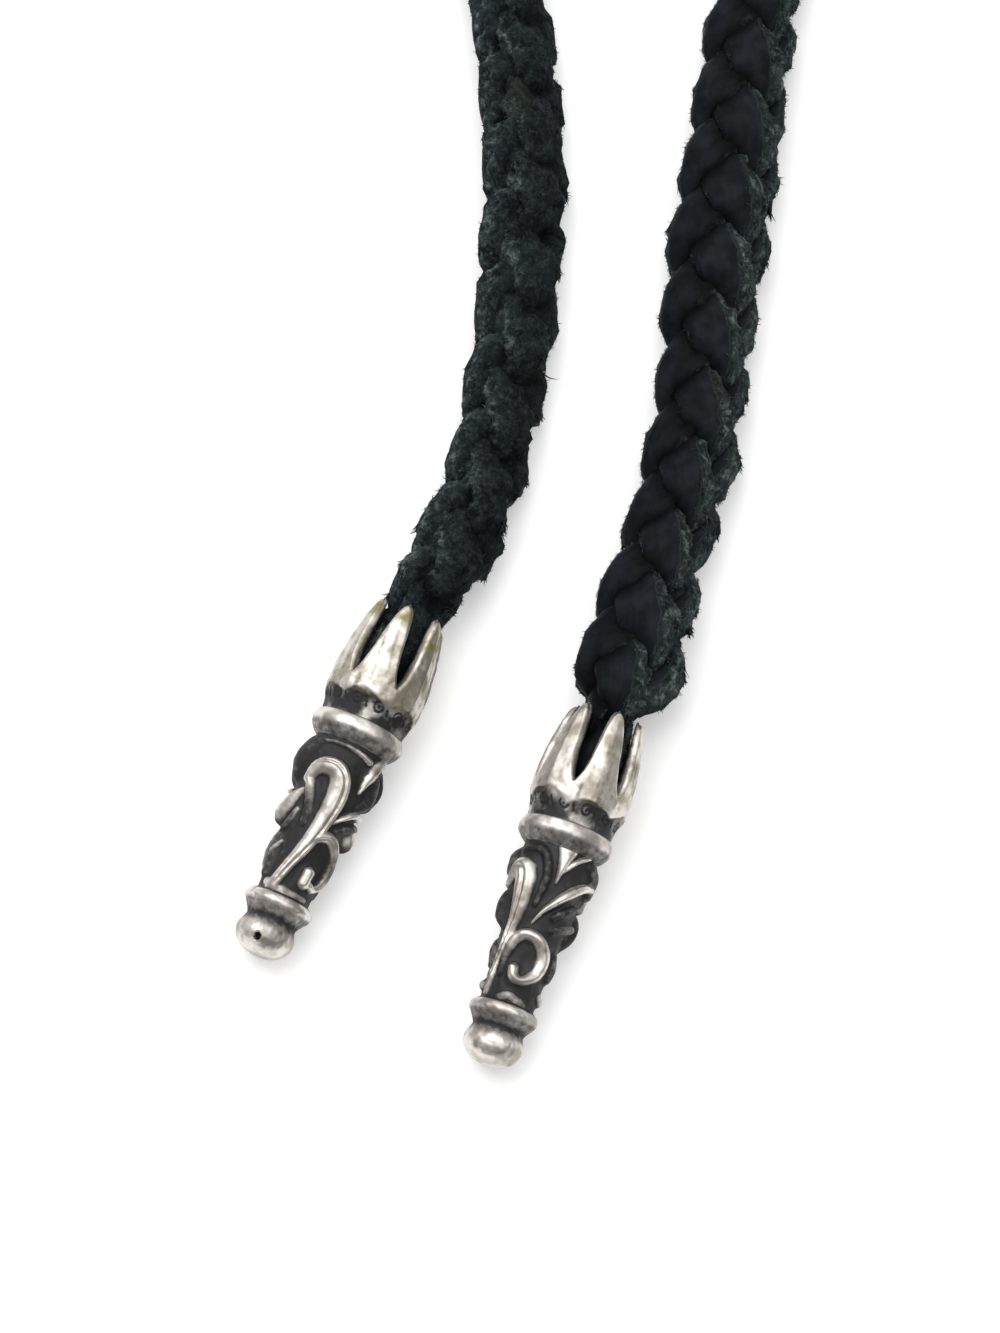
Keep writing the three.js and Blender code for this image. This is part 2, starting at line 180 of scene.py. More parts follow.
def add_camera():
    """A camera on a circle round the aim point, turned towards it."""
    data = bpy.data.cameras.new("camera")
    data.lens = LENS_MM
    data.sensor_width = SENSOR_MM
    data.clip_start = 10 * MM
    camera = bpy.data.objects.new("camera", data)
    backwards = np.array([0, -math.cos(ELEVATION), math.sin(ELEVATION)])
    camera.location = aim_point() + CAMERA_DISTANCE * backwards
    camera.rotation_euler = (math.pi / 2 - ELEVATION, 0, 0)
    bpy.context.scene.collection.objects.link(camera)
    bpy.context.scene.camera = camera


add_camera()
bpy.context.scene.view_settings.view_transform = "Standard"
print("camera aims at", np.round(aim_point(), 4))

# %% Floor and lights
FLOOR_HALF, FLOOR_DROP = 2, 0.03 * MM


def add_area_light(name, place, size, power):
    """A square soft light at a place counted from the aim point, facing that point."""
    data = bpy.data.lights.new(name, "AREA")
    data.size = size
    data.energy = power
    light = bpy.data.objects.new(name, data)
    light.location = aim_point() + np.array(place)
    light.rotation_euler = Vector(-np.array(place)).to_track_quat("-Z", "Y").to_euler()
    bpy.context.scene.collection.objects.link(light)


def add_floor():
    """A wide plane just under the necklace."""
    signs = np.array([(-1, -1, 0), (1, -1, 0), (1, 1, 0), (-1, 1, 0)])
    corners = FLOOR_HALF * signs - [0, 0, FLOOR_DROP]
    mesh = bpy.data.meshes.new("floor")
    mesh.from_pydata(corners.tolist(), [], [(0, 1, 2, 3)])
    floor = bpy.data.objects.new("floor", mesh)
    bpy.context.scene.collection.objects.link(floor)
    material, _, _ = new_material("floor_paper", Base_Color=(0.9, 0.9, 0.9, 1), Roughness=0.9,
                                  Emission_Color=(1, 1, 1, 1), Emission_Strength=0.22)
    mesh.materials.append(material)


BRIGHTEST_WAY = (-0.10, 0.40, 0.91)
DIMMEST_AT, BRIGHTEST_AT = 0.15, 0.80


def add_world(brightest, dimmest):
    """Light from all round that falls from the brightest to the dimmest with the angle away
    from BRIGHTEST_WAY, between the two cosines BRIGHTEST_AT and DIMMEST_AT."""
    world = bpy.data.worlds.new("studio")
    world.use_nodes = True
    tree = world.node_tree
    place = add_node(tree, "ShaderNodeTexCoord")
    towards = add_node(tree, "ShaderNodeVectorMath", {
        0: place.outputs["Generated"], 1: BRIGHTEST_WAY}, operation="DOT_PRODUCT")
    level = add_node(tree, "ShaderNodeMapRange", {
        "Value": towards.outputs["Value"], "From Min": DIMMEST_AT, "From Max": BRIGHTEST_AT,
        "To Min": dimmest, "To Max": brightest})
    sky = tree.nodes["Background"]
    sky.inputs["Color"].default_value = (1, 1, 1, 1)
    tree.links.new(level.outputs["Result"], sky.inputs["Strength"])
    bpy.context.scene.world = world


add_floor()
add_world(brightest=1.05, dimmest=0.22)
add_area_light("key", place=(-0.15, 0.25, 0.60), size=0.60, power=2.4)
add_area_light("fill", place=(0.30, -0.10, 0.50), size=0.50, power=0.6)
print("floor is", 2 * FLOOR_HALF, "m wide")

# %% [markdown]
# ## The route of the plait
# The two ends lie as they fell, and the rest opens in a wide loop for the neck. The route is
# a short list of given places, joined by one smooth line into both cups.

# %% Places of the tips and of the route
REST_HEIGHT = 3.6
ROUTE = np.array([
    (-18.6, -144.9, 4.9), (-16.5, -141.2, 4.4), (-13.8, -134.5, 3.8), (-12.0, -126.4, REST_HEIGHT),
    (-10.6, -117.9, REST_HEIGHT), (-10.0, -109.7, REST_HEIGHT), (-9.7, -101.0, REST_HEIGHT),
    (-11.5, -82.0, REST_HEIGHT), (-18.0, -55.0, REST_HEIGHT), (-34.0, -15.0, REST_HEIGHT),
    (-54.0, 25.0, REST_HEIGHT), (-73.0, 64.0, REST_HEIGHT), (-84.5, 98.0, REST_HEIGHT),
    (-83.5, 131.0, REST_HEIGHT), (-68.0, 161.0, REST_HEIGHT), (-40.0, 180.5, REST_HEIGHT),
    (0.0, 187.8, REST_HEIGHT), (40.0, 180.5, REST_HEIGHT), (68.0, 161.0, REST_HEIGHT),
    (83.4, 131.0, REST_HEIGHT), (84.4, 98.0, REST_HEIGHT), (73.0, 64.0, REST_HEIGHT),
    (55.0, 25.0, REST_HEIGHT), (36.5, -15.0, REST_HEIGHT), (21.0, -55.0, REST_HEIGHT),
    (13.6, -82.0, REST_HEIGHT), (10.6, -101.0, REST_HEIGHT), (8.9, -111.5, REST_HEIGHT),
    (7.8, -121.0, REST_HEIGHT), (6.3, -131.0, 3.7), (3.6, -141.0, 4.0), (1.0, -149.5, 4.6),
    (0.1, -153.2, 5.0),
]) * MM

COLLAR_STATION, COLLAR_RADIUS = 13.2 * MM, 4.55 * MM
RING_STATION, RING_RADIUS = 30.7 * MM, 3.36 * MM
BRAID_END_DEPTH = 9.6 * MM
TIPS = {
    "silver_tip_left": dict(x=-25.65, y=-160.1, heading=23.8, roll=7.5),
    "silver_tip_right": dict(x=-6.2, y=-170.5, heading=19.2, roll=6.0),
}

# %% Frames of the tips
TIP_SLOPE = math.asin((COLLAR_RADIUS - RING_RADIUS) / (RING_STATION - COLLAR_STATION))


def tip_frame(x, y, heading, roll):
    """The axis towards the braid, the two directions across it, and the middle of the cup's
    mouth. The axis slopes so that collar and lower ring both touch the surface. The tip lies
    with its collar at x, y in millimetres, turned by heading and roll in degrees."""
    turn, roll = math.radians(heading), math.radians(roll)
    level_ahead = np.array([math.sin(turn), math.cos(turn), 0])
    along = math.cos(TIP_SLOPE) * level_ahead + math.sin(TIP_SLOPE) * np.array([0, 0, 1])
    level = unit(np.array([along[1], -along[0], 0]))
    across = math.cos(roll) * level + math.sin(roll) * np.cross(along, level)
    up = np.cross(across, along)
    collar = np.array([x * MM, y * MM, COLLAR_RADIUS / math.cos(TIP_SLOPE)])
    return along, across, up, collar + COLLAR_STATION * along


TIP_FRAMES = {name: tip_frame(**place) for name, place in TIPS.items()}


def in_cup(name, depth):
    """The point on a tip's axis at a depth inside its mouth."""
    along, _, _, mouth = TIP_FRAMES[name]
    return mouth - depth * along


# %% One smooth line from cup to cup
RING_SHARES = np.array([0.0, 0.12, 0.20, 0.80, 0.88, 1.0])
RING_STEPS = np.array([0.50, 0.50, 0.85, 0.85, 0.50, 0.50]) * MM
FINE_STEP = 0.1 * MM


def smooth_line(points):
    """Cubic pieces through the points, then rings at RING_STEPS along them. The slope at a
    point is the chord between its neighbours over the chord length. On a piece, with u from 0
    to 1: p0 (1+2u)(1-u)^2 + m0 u (1-u)^2 + p1 u^2 (3-2u) + m1 u^2 (u-1)."""
    t = run_along(points)
    before, after = np.r_[0, 0:len(t) - 1], np.r_[1:len(t), len(t) - 1]
    slopes = (points[after] - points[before]) / (t[after] - t[before])[:, None]
    fine = np.linspace(0, t[-1], int(t[-1] / FINE_STEP))
    i = np.clip(np.searchsorted(t, fine, side="right") - 1, 0, len(t) - 2)
    span = (t[i + 1] - t[i])[:, None]
    u = (fine - t[i])[:, None] / span
    line = (points[i] * (1 + 2 * u) * (1 - u) ** 2 + slopes[i] * span * u * (1 - u) ** 2
            + points[i + 1] * u ** 2 * (3 - 2 * u) + slopes[i + 1] * span * u ** 2 * (u - 1))
    s = run_along(line)
    passed = np.cumsum(np.gradient(s) / np.interp(s / s[-1], RING_SHARES, RING_STEPS))
    at = np.interp(np.linspace(passed[0], passed[-1], int(round(passed[-1]))), passed, s)
    return np.stack([np.interp(at, s, line[:, k]) for k in range(3)], axis=1), at


CUP_DEPTHS = np.array([BRAID_END_DEPTH, 5 * MM, 0])
route = np.vstack([[in_cup("silver_tip_left", depth) for depth in CUP_DEPTHS], ROUTE,
                   [in_cup("silver_tip_right", depth) for depth in CUP_DEPTHS[::-1]]])
centre, distance = smooth_line(route)
BRAID_LENGTH = distance[-1]
print("braid from cup floor to cup floor", round(BRAID_LENGTH, 4), "m, in", len(centre), "rings")

# %% [markdown]
# ## The plait
# Four laces make a round plait. Two wind one way and two the other, and each goes over one
# and under the next. Seen along the cord, a lace follows a flat ellipse: it is far out where
# it crosses over, and near the axis where it dives under. It could be modelled by hand on a
# curve, but the ellipse gives every crossing at once. The laces are square and keep facing
# the same way as they go round, so one side of the cord shows the smooth grain of the hide
# and the others show its cut edges and raw flesh.

# %% Thickness and twist along the cord
GIRTH = 4.05 * MM
FULLNESS_LEFT, FULLNESS_RIGHT = 0.98, 1.06
PHASE_LEFT, PHASE_RIGHT = math.radians(2), math.radians(103)
# From the left end: how long a full turn of a lace is, and how far the rows and the grain
# faces are turned from the cord's side towards its top, in degrees
TWIST_STATIONS = np.array([0.0, 0.03, 0.08, 0.20, 0.80, 0.92, 0.98, 1.0])
PITCH_STATIONS = np.array([16.5, 15.8, 15.0, 14.5, 14.5, 14.9, 14.9, 14.9]) * MM
ROW_STATIONS = np.array([60, 60, 60, 60, 114, 113, 101, 98])
GRAIN_STATIONS = np.array([218, 222, 222, 210, 84, 76, 66, 62])
NECKING = np.array([
    (-9.6, 2.85, 2.85), (-7.5, 3.00, 3.00), (-3.0, 2.85, 2.85), (0.0, 2.50, 2.50),
    (1.6, 3.20, 3.80), (4.5, 3.85, 4.60), (9.0, 4.00, 4.45), (18.0, 4.05, 4.30),
]) * MM

# How much fuller or thinner the hand-made plait is, by the millimetres from each cup's mouth
SWELL_LEFT = np.array([(0, 1.0), (4.6, 0.97), (8.8, 1.03), (13.5, 0.95), (19, 1.0),
                       (25, 1.02), (32, 1.04), (40, 1.05), (48, 1.07), (75, 1.0)])
SWELL_RIGHT = np.array([(0, 1.0), (2.5, 1.03), (7, 1.08), (12, 1.07), (15.5, 0.98), (21, 0.99),
                        (27.5, 1.04), (33, 1.01), (37, 1.04), (43, 1.09), (50, 1.13),
                        (58, 1.13), (80, 1.0)])

share = distance / BRAID_LENGTH
ahead = unit(np.gradient(centre, axis=0))
side = unit(np.stack([ahead[:, 1], -ahead[:, 0], np.zeros(len(ahead))], axis=1))
up = np.cross(side, ahead)


def girth_along(s):
    """Mean radius of the plait: fuller towards one end, narrowing into each cup, and a little
    uneven by SWELL_LEFT and SWELL_RIGHT."""
    out = np.minimum(s, BRAID_LENGTH - s) - BRAID_END_DEPTH
    near_left = s < BRAID_LENGTH / 2
    necked = np.where(near_left, np.interp(out, NECKING[:, 0], NECKING[:, 1]),
                      np.interp(out, NECKING[:, 0], NECKING[:, 2]))
    plain = GIRTH * (FULLNESS_LEFT + (FULLNESS_RIGHT - FULLNESS_LEFT) * s / BRAID_LENGTH)
    swell = np.where(near_left, np.interp(out / MM, *SWELL_LEFT.T),
                     np.interp(out / MM, *SWELL_RIGHT.T))
    return np.where(out > NECKING[-1, 0], plain, necked) * swell


girth = girth_along(distance)
row_turn = np.radians(np.interp(share, TWIST_STATIONS, ROW_STATIONS))
grain_turn = np.radians(np.interp(share, TWIST_STATIONS, GRAIN_STATIONS))
pitch = np.interp(share, TWIST_STATIONS, PITCH_STATIONS)
phase = PHASE_LEFT + np.cumsum(2 * math.pi * np.gradient(distance) / pitch)
# The pattern repeats every half turn, so less than a quarter turn makes both ends come out
missing = (PHASE_RIGHT - phase[-1] + math.pi / 2) % math.pi - math.pi / 2
phase += missing * ease(share, 0.25, 0.75)
# 0 near the left end, whose top shows raw hide, and 1 near the right end, whose top shows grain
grain_end = ease(share, 0.3, 0.7)
print("turns of a lace round the cord", round((phase[-1] - phase[0]) / (2 * math.pi), 1))

# %% Section of a lace
OUT_RADIUS, IN_RADIUS = 2.35 * MM, 0.85 * MM
LACE_HALF_THICK, LACE_HALF_WIDE = 1.70 * MM, 2.25 * MM
CORNER = 0.90 * MM
CORNER_ANGLES = np.radians([8, 45, 82])
GRAIN_WRAP = 0.42 * MM
CUT_WRAP = 0.70 * MM
FRINGE_FROM, FRINGE_TO = -1.3 * MM, 0.4 * MM
FAR_WRAP, FAR_FULL = 1.00 * MM, 0.6
SIDE_STOPS = (0.33, 0.67)


def lace_section():
    """A rectangle with rounded corners, counter-clockwise, in metres. Its first number is
    towards the grain face. Also how grainy each point is, 1 on the grain face and 0 off it,
    the same with the grain drawn over one edge, and how pale its cut is: 1 all over one edge,
    and on the other near the grain face only. Every border between them is eased."""
    reach = np.array([LACE_HALF_THICK, LACE_HALF_WIDE])
    arc = CORNER * np.stack([np.cos(CORNER_ANGLES), np.sin(CORNER_ANGLES)], axis=1)
    quarter = np.array([[0, -1], [1, 0]])
    signs = np.array([(1, 1), (-1, 1), (-1, -1), (1, -1)])
    sides = []
    for n, sign in enumerate(signs):
        corner = sign * (reach - CORNER) + arc @ np.linalg.matrix_power(quarter, n).T
        next_corner = signs[(n + 1) % 4] * (reach - CORNER)
        across = next_corner - sign * (reach - CORNER)
        between = [corner[-1] + across * t for t in SIDE_STOPS]
        sides.append(np.vstack([corner, between]))
    outline = np.vstack(sides)
    grainy = ease(outline[:, 0], LACE_HALF_THICK - GRAIN_WRAP, LACE_HALF_THICK)
    drawn = ease(outline[:, 0], LACE_HALF_THICK - FAR_WRAP, LACE_HALF_THICK - FAR_FULL * FAR_WRAP)
    drawn = np.where(outline[:, 1] > 0, drawn, grainy)
    cut = ease(np.abs(outline[:, 1]), LACE_HALF_WIDE - CUT_WRAP, LACE_HALF_WIDE) * (1 - grainy)
    fringe = ease(outline[:, 0], FRINGE_FROM, FRINGE_TO)
    return outline, grainy, drawn, np.where(outline[:, 1] > 0, cut * fringe, cut)


section, section_grain, section_drawn, section_cut = lace_section()
print("points round a lace", len(section))

# %% Lace lines and rings
LACES = 4
PRESS_START, PRESS_ROOM = 0.80, 0.26
DIVE_LEFT, DIVE_RIGHT = 0.12, 0.32
RAW_LUMPS, RAW_CRUMBS = 0.26 * MM, 0.34 * MM
LUMP_LENGTH = 1.6 * MM
DIVE_LAG = math.radians(14)
FLOOR_ROOM = 0.35 * MM
MATTED_FROM, MATTED_TO = 0.20, -0.15
DRIFT_WAVES = 12


def drift(place, length, seed):
    """A smooth number for each place, mostly from -1 to 1: the sum of DRIFT_WAVES waves, sin(w .
    p + a), over the root of their number, each in its own direction and about a length long."""
    dice = np.random.default_rng(seed)
    ways = unit(dice.normal(size=(DRIFT_WAVES, 3)))
    rates = ways * 2 * math.pi / (length * dice.uniform(0.7, 1.6, (DRIFT_WAVES, 1)))
    starts = dice.uniform(0, 2 * math.pi, DRIFT_WAVES)
    return np.sin(place @ rates.T + starts).sum(axis=-1) / math.sqrt(DRIFT_WAVES)


def lace_turn(k):
    """How far lace k has gone round its ellipse: 0 and pi where it is farthest out."""
    return phase + (k // 2) * math.pi - (k % 2) * math.pi / 2


def lace_line(k):
    """Centre line of lace k, an ellipse about the cord: (out cos, in sin) of its turn for the
    even laces, which wind one way, and (in sin, out cos) for the odd ones."""
    turn = lace_turn(k)
    scale = girth / GIRTH
    far, near = OUT_RADIUS * scale * np.cos(turn), IN_RADIUS * scale * np.sin(turn)
    x, y = (far, near) if k % 2 == 0 else (near, far)
    cos, sin = np.cos(row_turn), np.sin(row_turn)
    return centre + (x * cos - y * sin)[:, None] * side + (x * sin + y * cos)[:, None] * up


def in_cord_frame(points):
    """Points of each ring as distances along side, up and ahead from the cord's line."""
    offset = points - centre[:, None]
    return [np.einsum("nij,nj->ni", offset, axis) for axis in (side, up, ahead)]


def pressed(points, limit):
    """Points kept inside a round outline and above the surface that the plait lies on. Past a
    share of the limit the radius bends over, as start + room tanh((r - start) / room), and low
    heights do the same towards zero."""
    a, b, c = in_cord_frame(points)
    r = np.hypot(a, b)
    start, room = PRESS_START * limit[:, None], PRESS_ROOM * limit[:, None]
    squeeze = np.where(r > start, (start + room * np.tanh((r - start) / room)) / r, 1)
    kept = centre[:, None] + (a * squeeze)[..., None] * side[:, None]
    kept += (b * squeeze)[..., None] * up[:, None] + c[..., None] * ahead[:, None]
    low = np.maximum(FLOOR_ROOM - kept[..., 2], 0)
    lifted = FLOOR_ROOM * (1 - 0.95 * np.tanh(low / FLOOR_ROOM))
    kept[..., 2] = np.where(low > 0, lifted, kept[..., 2])
    return kept


def lace_rings(k):
    """Rings of lace k, and how grainy each point is. The section stands square to the lace's
    own line, with its grain side turned as near to the grain direction as that allows, and is
    then pressed into the plait. Raw faces get lumps and crumbs. On the side of the cord away
    from the grain, all is matted."""
    line = lace_line(k)
    way = unit(np.gradient(line, axis=0))
    grain = np.cos(grain_turn)[:, None] * side + np.sin(grain_turn)[:, None] * up
    face = unit(grain - (grain * way).sum(axis=1)[:, None] * way)
    across = np.cross(way, face)
    scale = (girth / GIRTH)[:, None, None]
    placed = section[:, :1] * face[:, None] + section[:, 1:] * across[:, None]
    rings = line[:, None] + scale * placed
    sunk = np.sin(lace_turn(k) - DIVE_LAG) ** 2
    dive = DIVE_LEFT + (DIVE_RIGHT - DIVE_LEFT) * ease(share, 0.1, 0.9)
    rings = pressed(rings, girth * (1 - dive * sunk ** 1.5))
    crumbs = RAW_CRUMBS * (rng.random(rings.shape[:2]) - 0.5)
    lumps = RAW_LUMPS * drift(rings, LUMP_LENGTH, 3) + crumbs
    from_end = np.minimum(distance, BRAID_LENGTH - distance)
    free = ease(from_end, BRAID_END_DEPTH, BRAID_END_DEPTH + 4 * MM)
    seen = (unit(rings - centre[:, None]) * grain[:, None]).sum(axis=-1)
    grainy = section_grain + (section_drawn - section_grain) * grain_end[:, None]
    grainy *= 1 - ease(-seen, -MATTED_FROM, -MATTED_TO)
    lumps *= (1 - grainy) * (0.4 + 0.6 * free)[:, None]
    rings += lumps[..., None] * unit(rings - line[:, None])
    rings[..., 2] = np.maximum(rings[..., 2], 0.05 * FLOOR_ROOM)
    return rings, grainy


# %% Mesh of the plait
# Outness from the axis, over the girth: below SHADED the hide is painted fully in shade, above LIT
# not at all
SHADED, LIT = 0.74, 0.90
STRIP_MM = 20


def add_plait():
    """All four laces in one mesh, each a closed tube with a map in metres: u along the lace,
    v round it, each lace on a strip of its own."""
    sides, rings = len(section), len(centre)
    laces, grains = zip(*[lace_rings(k) for k in range(LACES)])
    points = np.concatenate([lace.reshape(-1, 3) for lace in laces])
    starts = np.arange(LACES)[:, None] * rings * sides
    i, j = grid_numbers(rings - 1, sides)
    quads = np.concatenate([first + quads_at(i, j, sides) for first in starts.ravel()])
    first_caps = starts + np.arange(sides)[::-1]
    last_caps = starts + (rings - 1) * sides + np.arange(sides)
    piece = new_piece("plaited_laces", points, quads, first_caps, last_caps)
    set_attribute(piece, "grain", np.concatenate([grainy.ravel() for grainy in grains]))
    set_attribute(piece, "cut", np.tile(section_cut, LACES * rings))
    outness = [np.linalg.norm(lace - centre[:, None], axis=-1) / girth[:, None] for lace in laces]
    outness = np.concatenate([out.ravel() for out in outness])
    # open is 0 deep in the plait and 1 far out; the material paints shade by it
    set_attribute(piece, "open", ease(outness, SHADED, LIT))
    around = run_along(np.vstack([section, section[:1]]))
    u = np.stack([distance[i], distance[i], distance[i + 1], distance[i + 1]], axis=1)
    v = np.stack([around[j], around[j + 1], around[j + 1], around[j]], axis=1)
    strip = np.arange(LACES)[:, None, None] * STRIP_MM * MM
    uv = np.stack([np.broadcast_to(u, (LACES, *u.shape)), v + strip], axis=-1).reshape(-1, 2)
    caps = np.zeros((2 * LACES * sides, 2))
    layer = piece.data.uv_layers.new(name="along_and_round")
    layer.data.foreach_set("uv", np.vstack([uv, caps]).astype(np.float32).ravel())
    return piece, laces, grains


plait, laces, grains = add_plait()
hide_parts("braid")
print("plait", len(plait.data.polygons), "faces")

# %% [markdown]
# ## Black hide, smooth and raw
# The grain face is dyed black and faintly striped along the lace where it was cut and drawn
# tight. The cut edges and the flesh are matte, mottled and a little green. A painted texture
# could show this, but noise on the lace's own map keeps the stripes along every bend.

# %% Mottling, used by hide and silver alike
def mottling_group():
    """Noise as a mask: 0 below Low, 1 above High, smooth between, with the raw noise too."""
    group, ins, outs = new_group(
        "mottling",
        {"Vector": ("Vector", None), "Scale": ("Float", 1000.0), "Detail": ("Float", 4.0),
         "Roughness": ("Float", 0.5), "Low": ("Float", 0.4), "High": ("Float", 0.6)},
        {"Mask": "Float", "Height": "Float"})
    noise = add_node(group, "ShaderNodeTexNoise", {
        key: ins.outputs[key] for key in ("Vector", "Scale", "Detail", "Roughness")})
    mask = add_node(group, "ShaderNodeMapRange", {
        "Value": noise.outputs["Fac"], "From Min": ins.outputs["Low"],
        "From Max": ins.outputs["High"]}, interpolation_type="SMOOTHSTEP")
    group.links.new(mask.outputs["Result"], outs.inputs["Mask"])
    group.links.new(noise.outputs["Fac"], outs.inputs["Height"])
    return group


MOTTLING = mottling_group()


def mix_colours(tree, factor, first, second):
    """Colours blended by a factor, through the node's colour sockets 6 and 7."""
    inputs = {0: factor, 6: first, 7: second}
    return add_node(tree, "ShaderNodeMix", inputs, data_type="RGBA").outputs[2]


def mix_values(tree, factor, first, second):
    """Numbers blended by a factor, through the node's number sockets 2 and 3."""
    inputs = {0: factor, 2: first, 3: second}
    return add_node(tree, "ShaderNodeMix", inputs, data_type="FLOAT").outputs[0]


def math_node(tree, operation, first, second):
    """Two numbers joined by an operation such as ADD or MULTIPLY."""
    inputs = {0: first, 1: second}
    return add_node(tree, "ShaderNodeMath", inputs, operation=operation).outputs[0]


# %% Raw hide, for the cut faces and the nap on them
RAW_DARK, RAW_MID = (0.0050, 0.0068, 0.0078, 1), (0.0190, 0.0275, 0.0285, 1)
RAW_PALE, RAW_OLIVE = (0.180, 0.225, 0.220, 1), (0.026, 0.032, 0.015, 1)
PALE_EVERYWHERE, PALE_ON_CUTS = 0.16, 0.65
CLUMPS_ON_CUTS = 0.28
FLECK_SHARE, STAIN_SHARE = 0.10, 0.35
TUFT_HEIGHT = 0.6


def raw_hide_group():
    """Teal-grey clumps on nearly black, with pale tufts that are thickest on cut edges, fine
    pale flecks everywhere and stains of olive. Its coordinates are the piece's own, so hide
    and nap match."""
    group, ins, outs = new_group(
        "raw_hide", {"Vector": ("Vector", None), "Cut": ("Float", 0.0)},
        {"Color": "Color", "Height": "Float"})
    vector, cut = ins.outputs["Vector"], ins.outputs["Cut"]
    clumps = use_group(group, MOTTLING, {
        "Vector": vector, "Scale": 620.0, "Detail": 8.0, "Roughness": 0.68,
        "Low": 0.34, "High": 0.68})
    tufts = use_group(group, MOTTLING, {
        "Vector": vector, "Scale": 1100.0, "Detail": 9.0, "Roughness": 0.70,
        "Low": 0.48, "High": 0.68})
    stains = use_group(group, MOTTLING, {
        "Vector": vector, "Scale": 330.0, "Detail": 3.0, "Low": 0.56, "High": 0.72})
    flecks = use_group(group, MOTTLING, {
        "Vector": vector, "Scale": 2400.0, "Detail": 3.0, "Low": 0.53, "High": 0.64})
    clumped = mix_colours(group, clumps.outputs["Mask"], RAW_DARK, RAW_MID)
    on_cuts = math_node(group, "MULTIPLY", cut, PALE_ON_CUTS)
    pale_share = math_node(group, "ADD", PALE_EVERYWHERE, on_cuts)
    clump_share = math_node(group, "MULTIPLY", cut, CLUMPS_ON_CUTS)
    pale_clumps = math_node(group, "MULTIPLY", clumps.outputs["Mask"], clump_share)
    pale = math_node(group, "ADD", tufts.outputs["Mask"], pale_clumps)
    tufted = math_node(group, "MULTIPLY", pale, pale_share)
    flecked = math_node(group, "MULTIPLY", flecks.outputs["Mask"], FLECK_SHARE)
    colour = mix_colours(group, math_node(group, "MAXIMUM", tufted, flecked), clumped, RAW_PALE)
    stained = math_node(group, "MULTIPLY", stains.outputs["Mask"], STAIN_SHARE)
    group.links.new(mix_colours(group, stained, colour, RAW_OLIVE), outs.inputs["Color"])
    tuft_height = math_node(group, "MULTIPLY", tufts.outputs["Height"], TUFT_HEIGHT)
    height = math_node(group, "ADD", clumps.outputs["Height"], tuft_height)
    group.links.new(height, outs.inputs["Height"])
    return group


RAW_HIDE = raw_hide_group()

# %% Black hide
GRAIN_DARK, GRAIN_LIGHT = (0.0037, 0.0050, 0.0069, 1), (0.0117, 0.0143, 0.0186, 1)
# The pale border of the grain: dye worn off its edge, and a painted sheen where the edge catches
# the light
WORN_RIM_AND_SHEEN, SHADE = (0.023, 0.032, 0.030, 1), (0.0006, 0.0008, 0.0009, 1)
BORDER_RAGGED = 0.9
RIM_FROM, RIM_TO, GRAIN_FULL = 0.25, 0.50, 0.72
STRIPE_SHARE, CLOUD_SHARE = 0.25, 0.75
RAW_IN_SHADE = 0.40
GRAIN_ROUGH, CREASE_ROUGH, RAW_ROUGH = 0.58, 0.80, 0.95
STRIPE_HEIGHT, CREASE_HEIGHT, RELIEF = 0.05, 0.12, 0.8 * MM


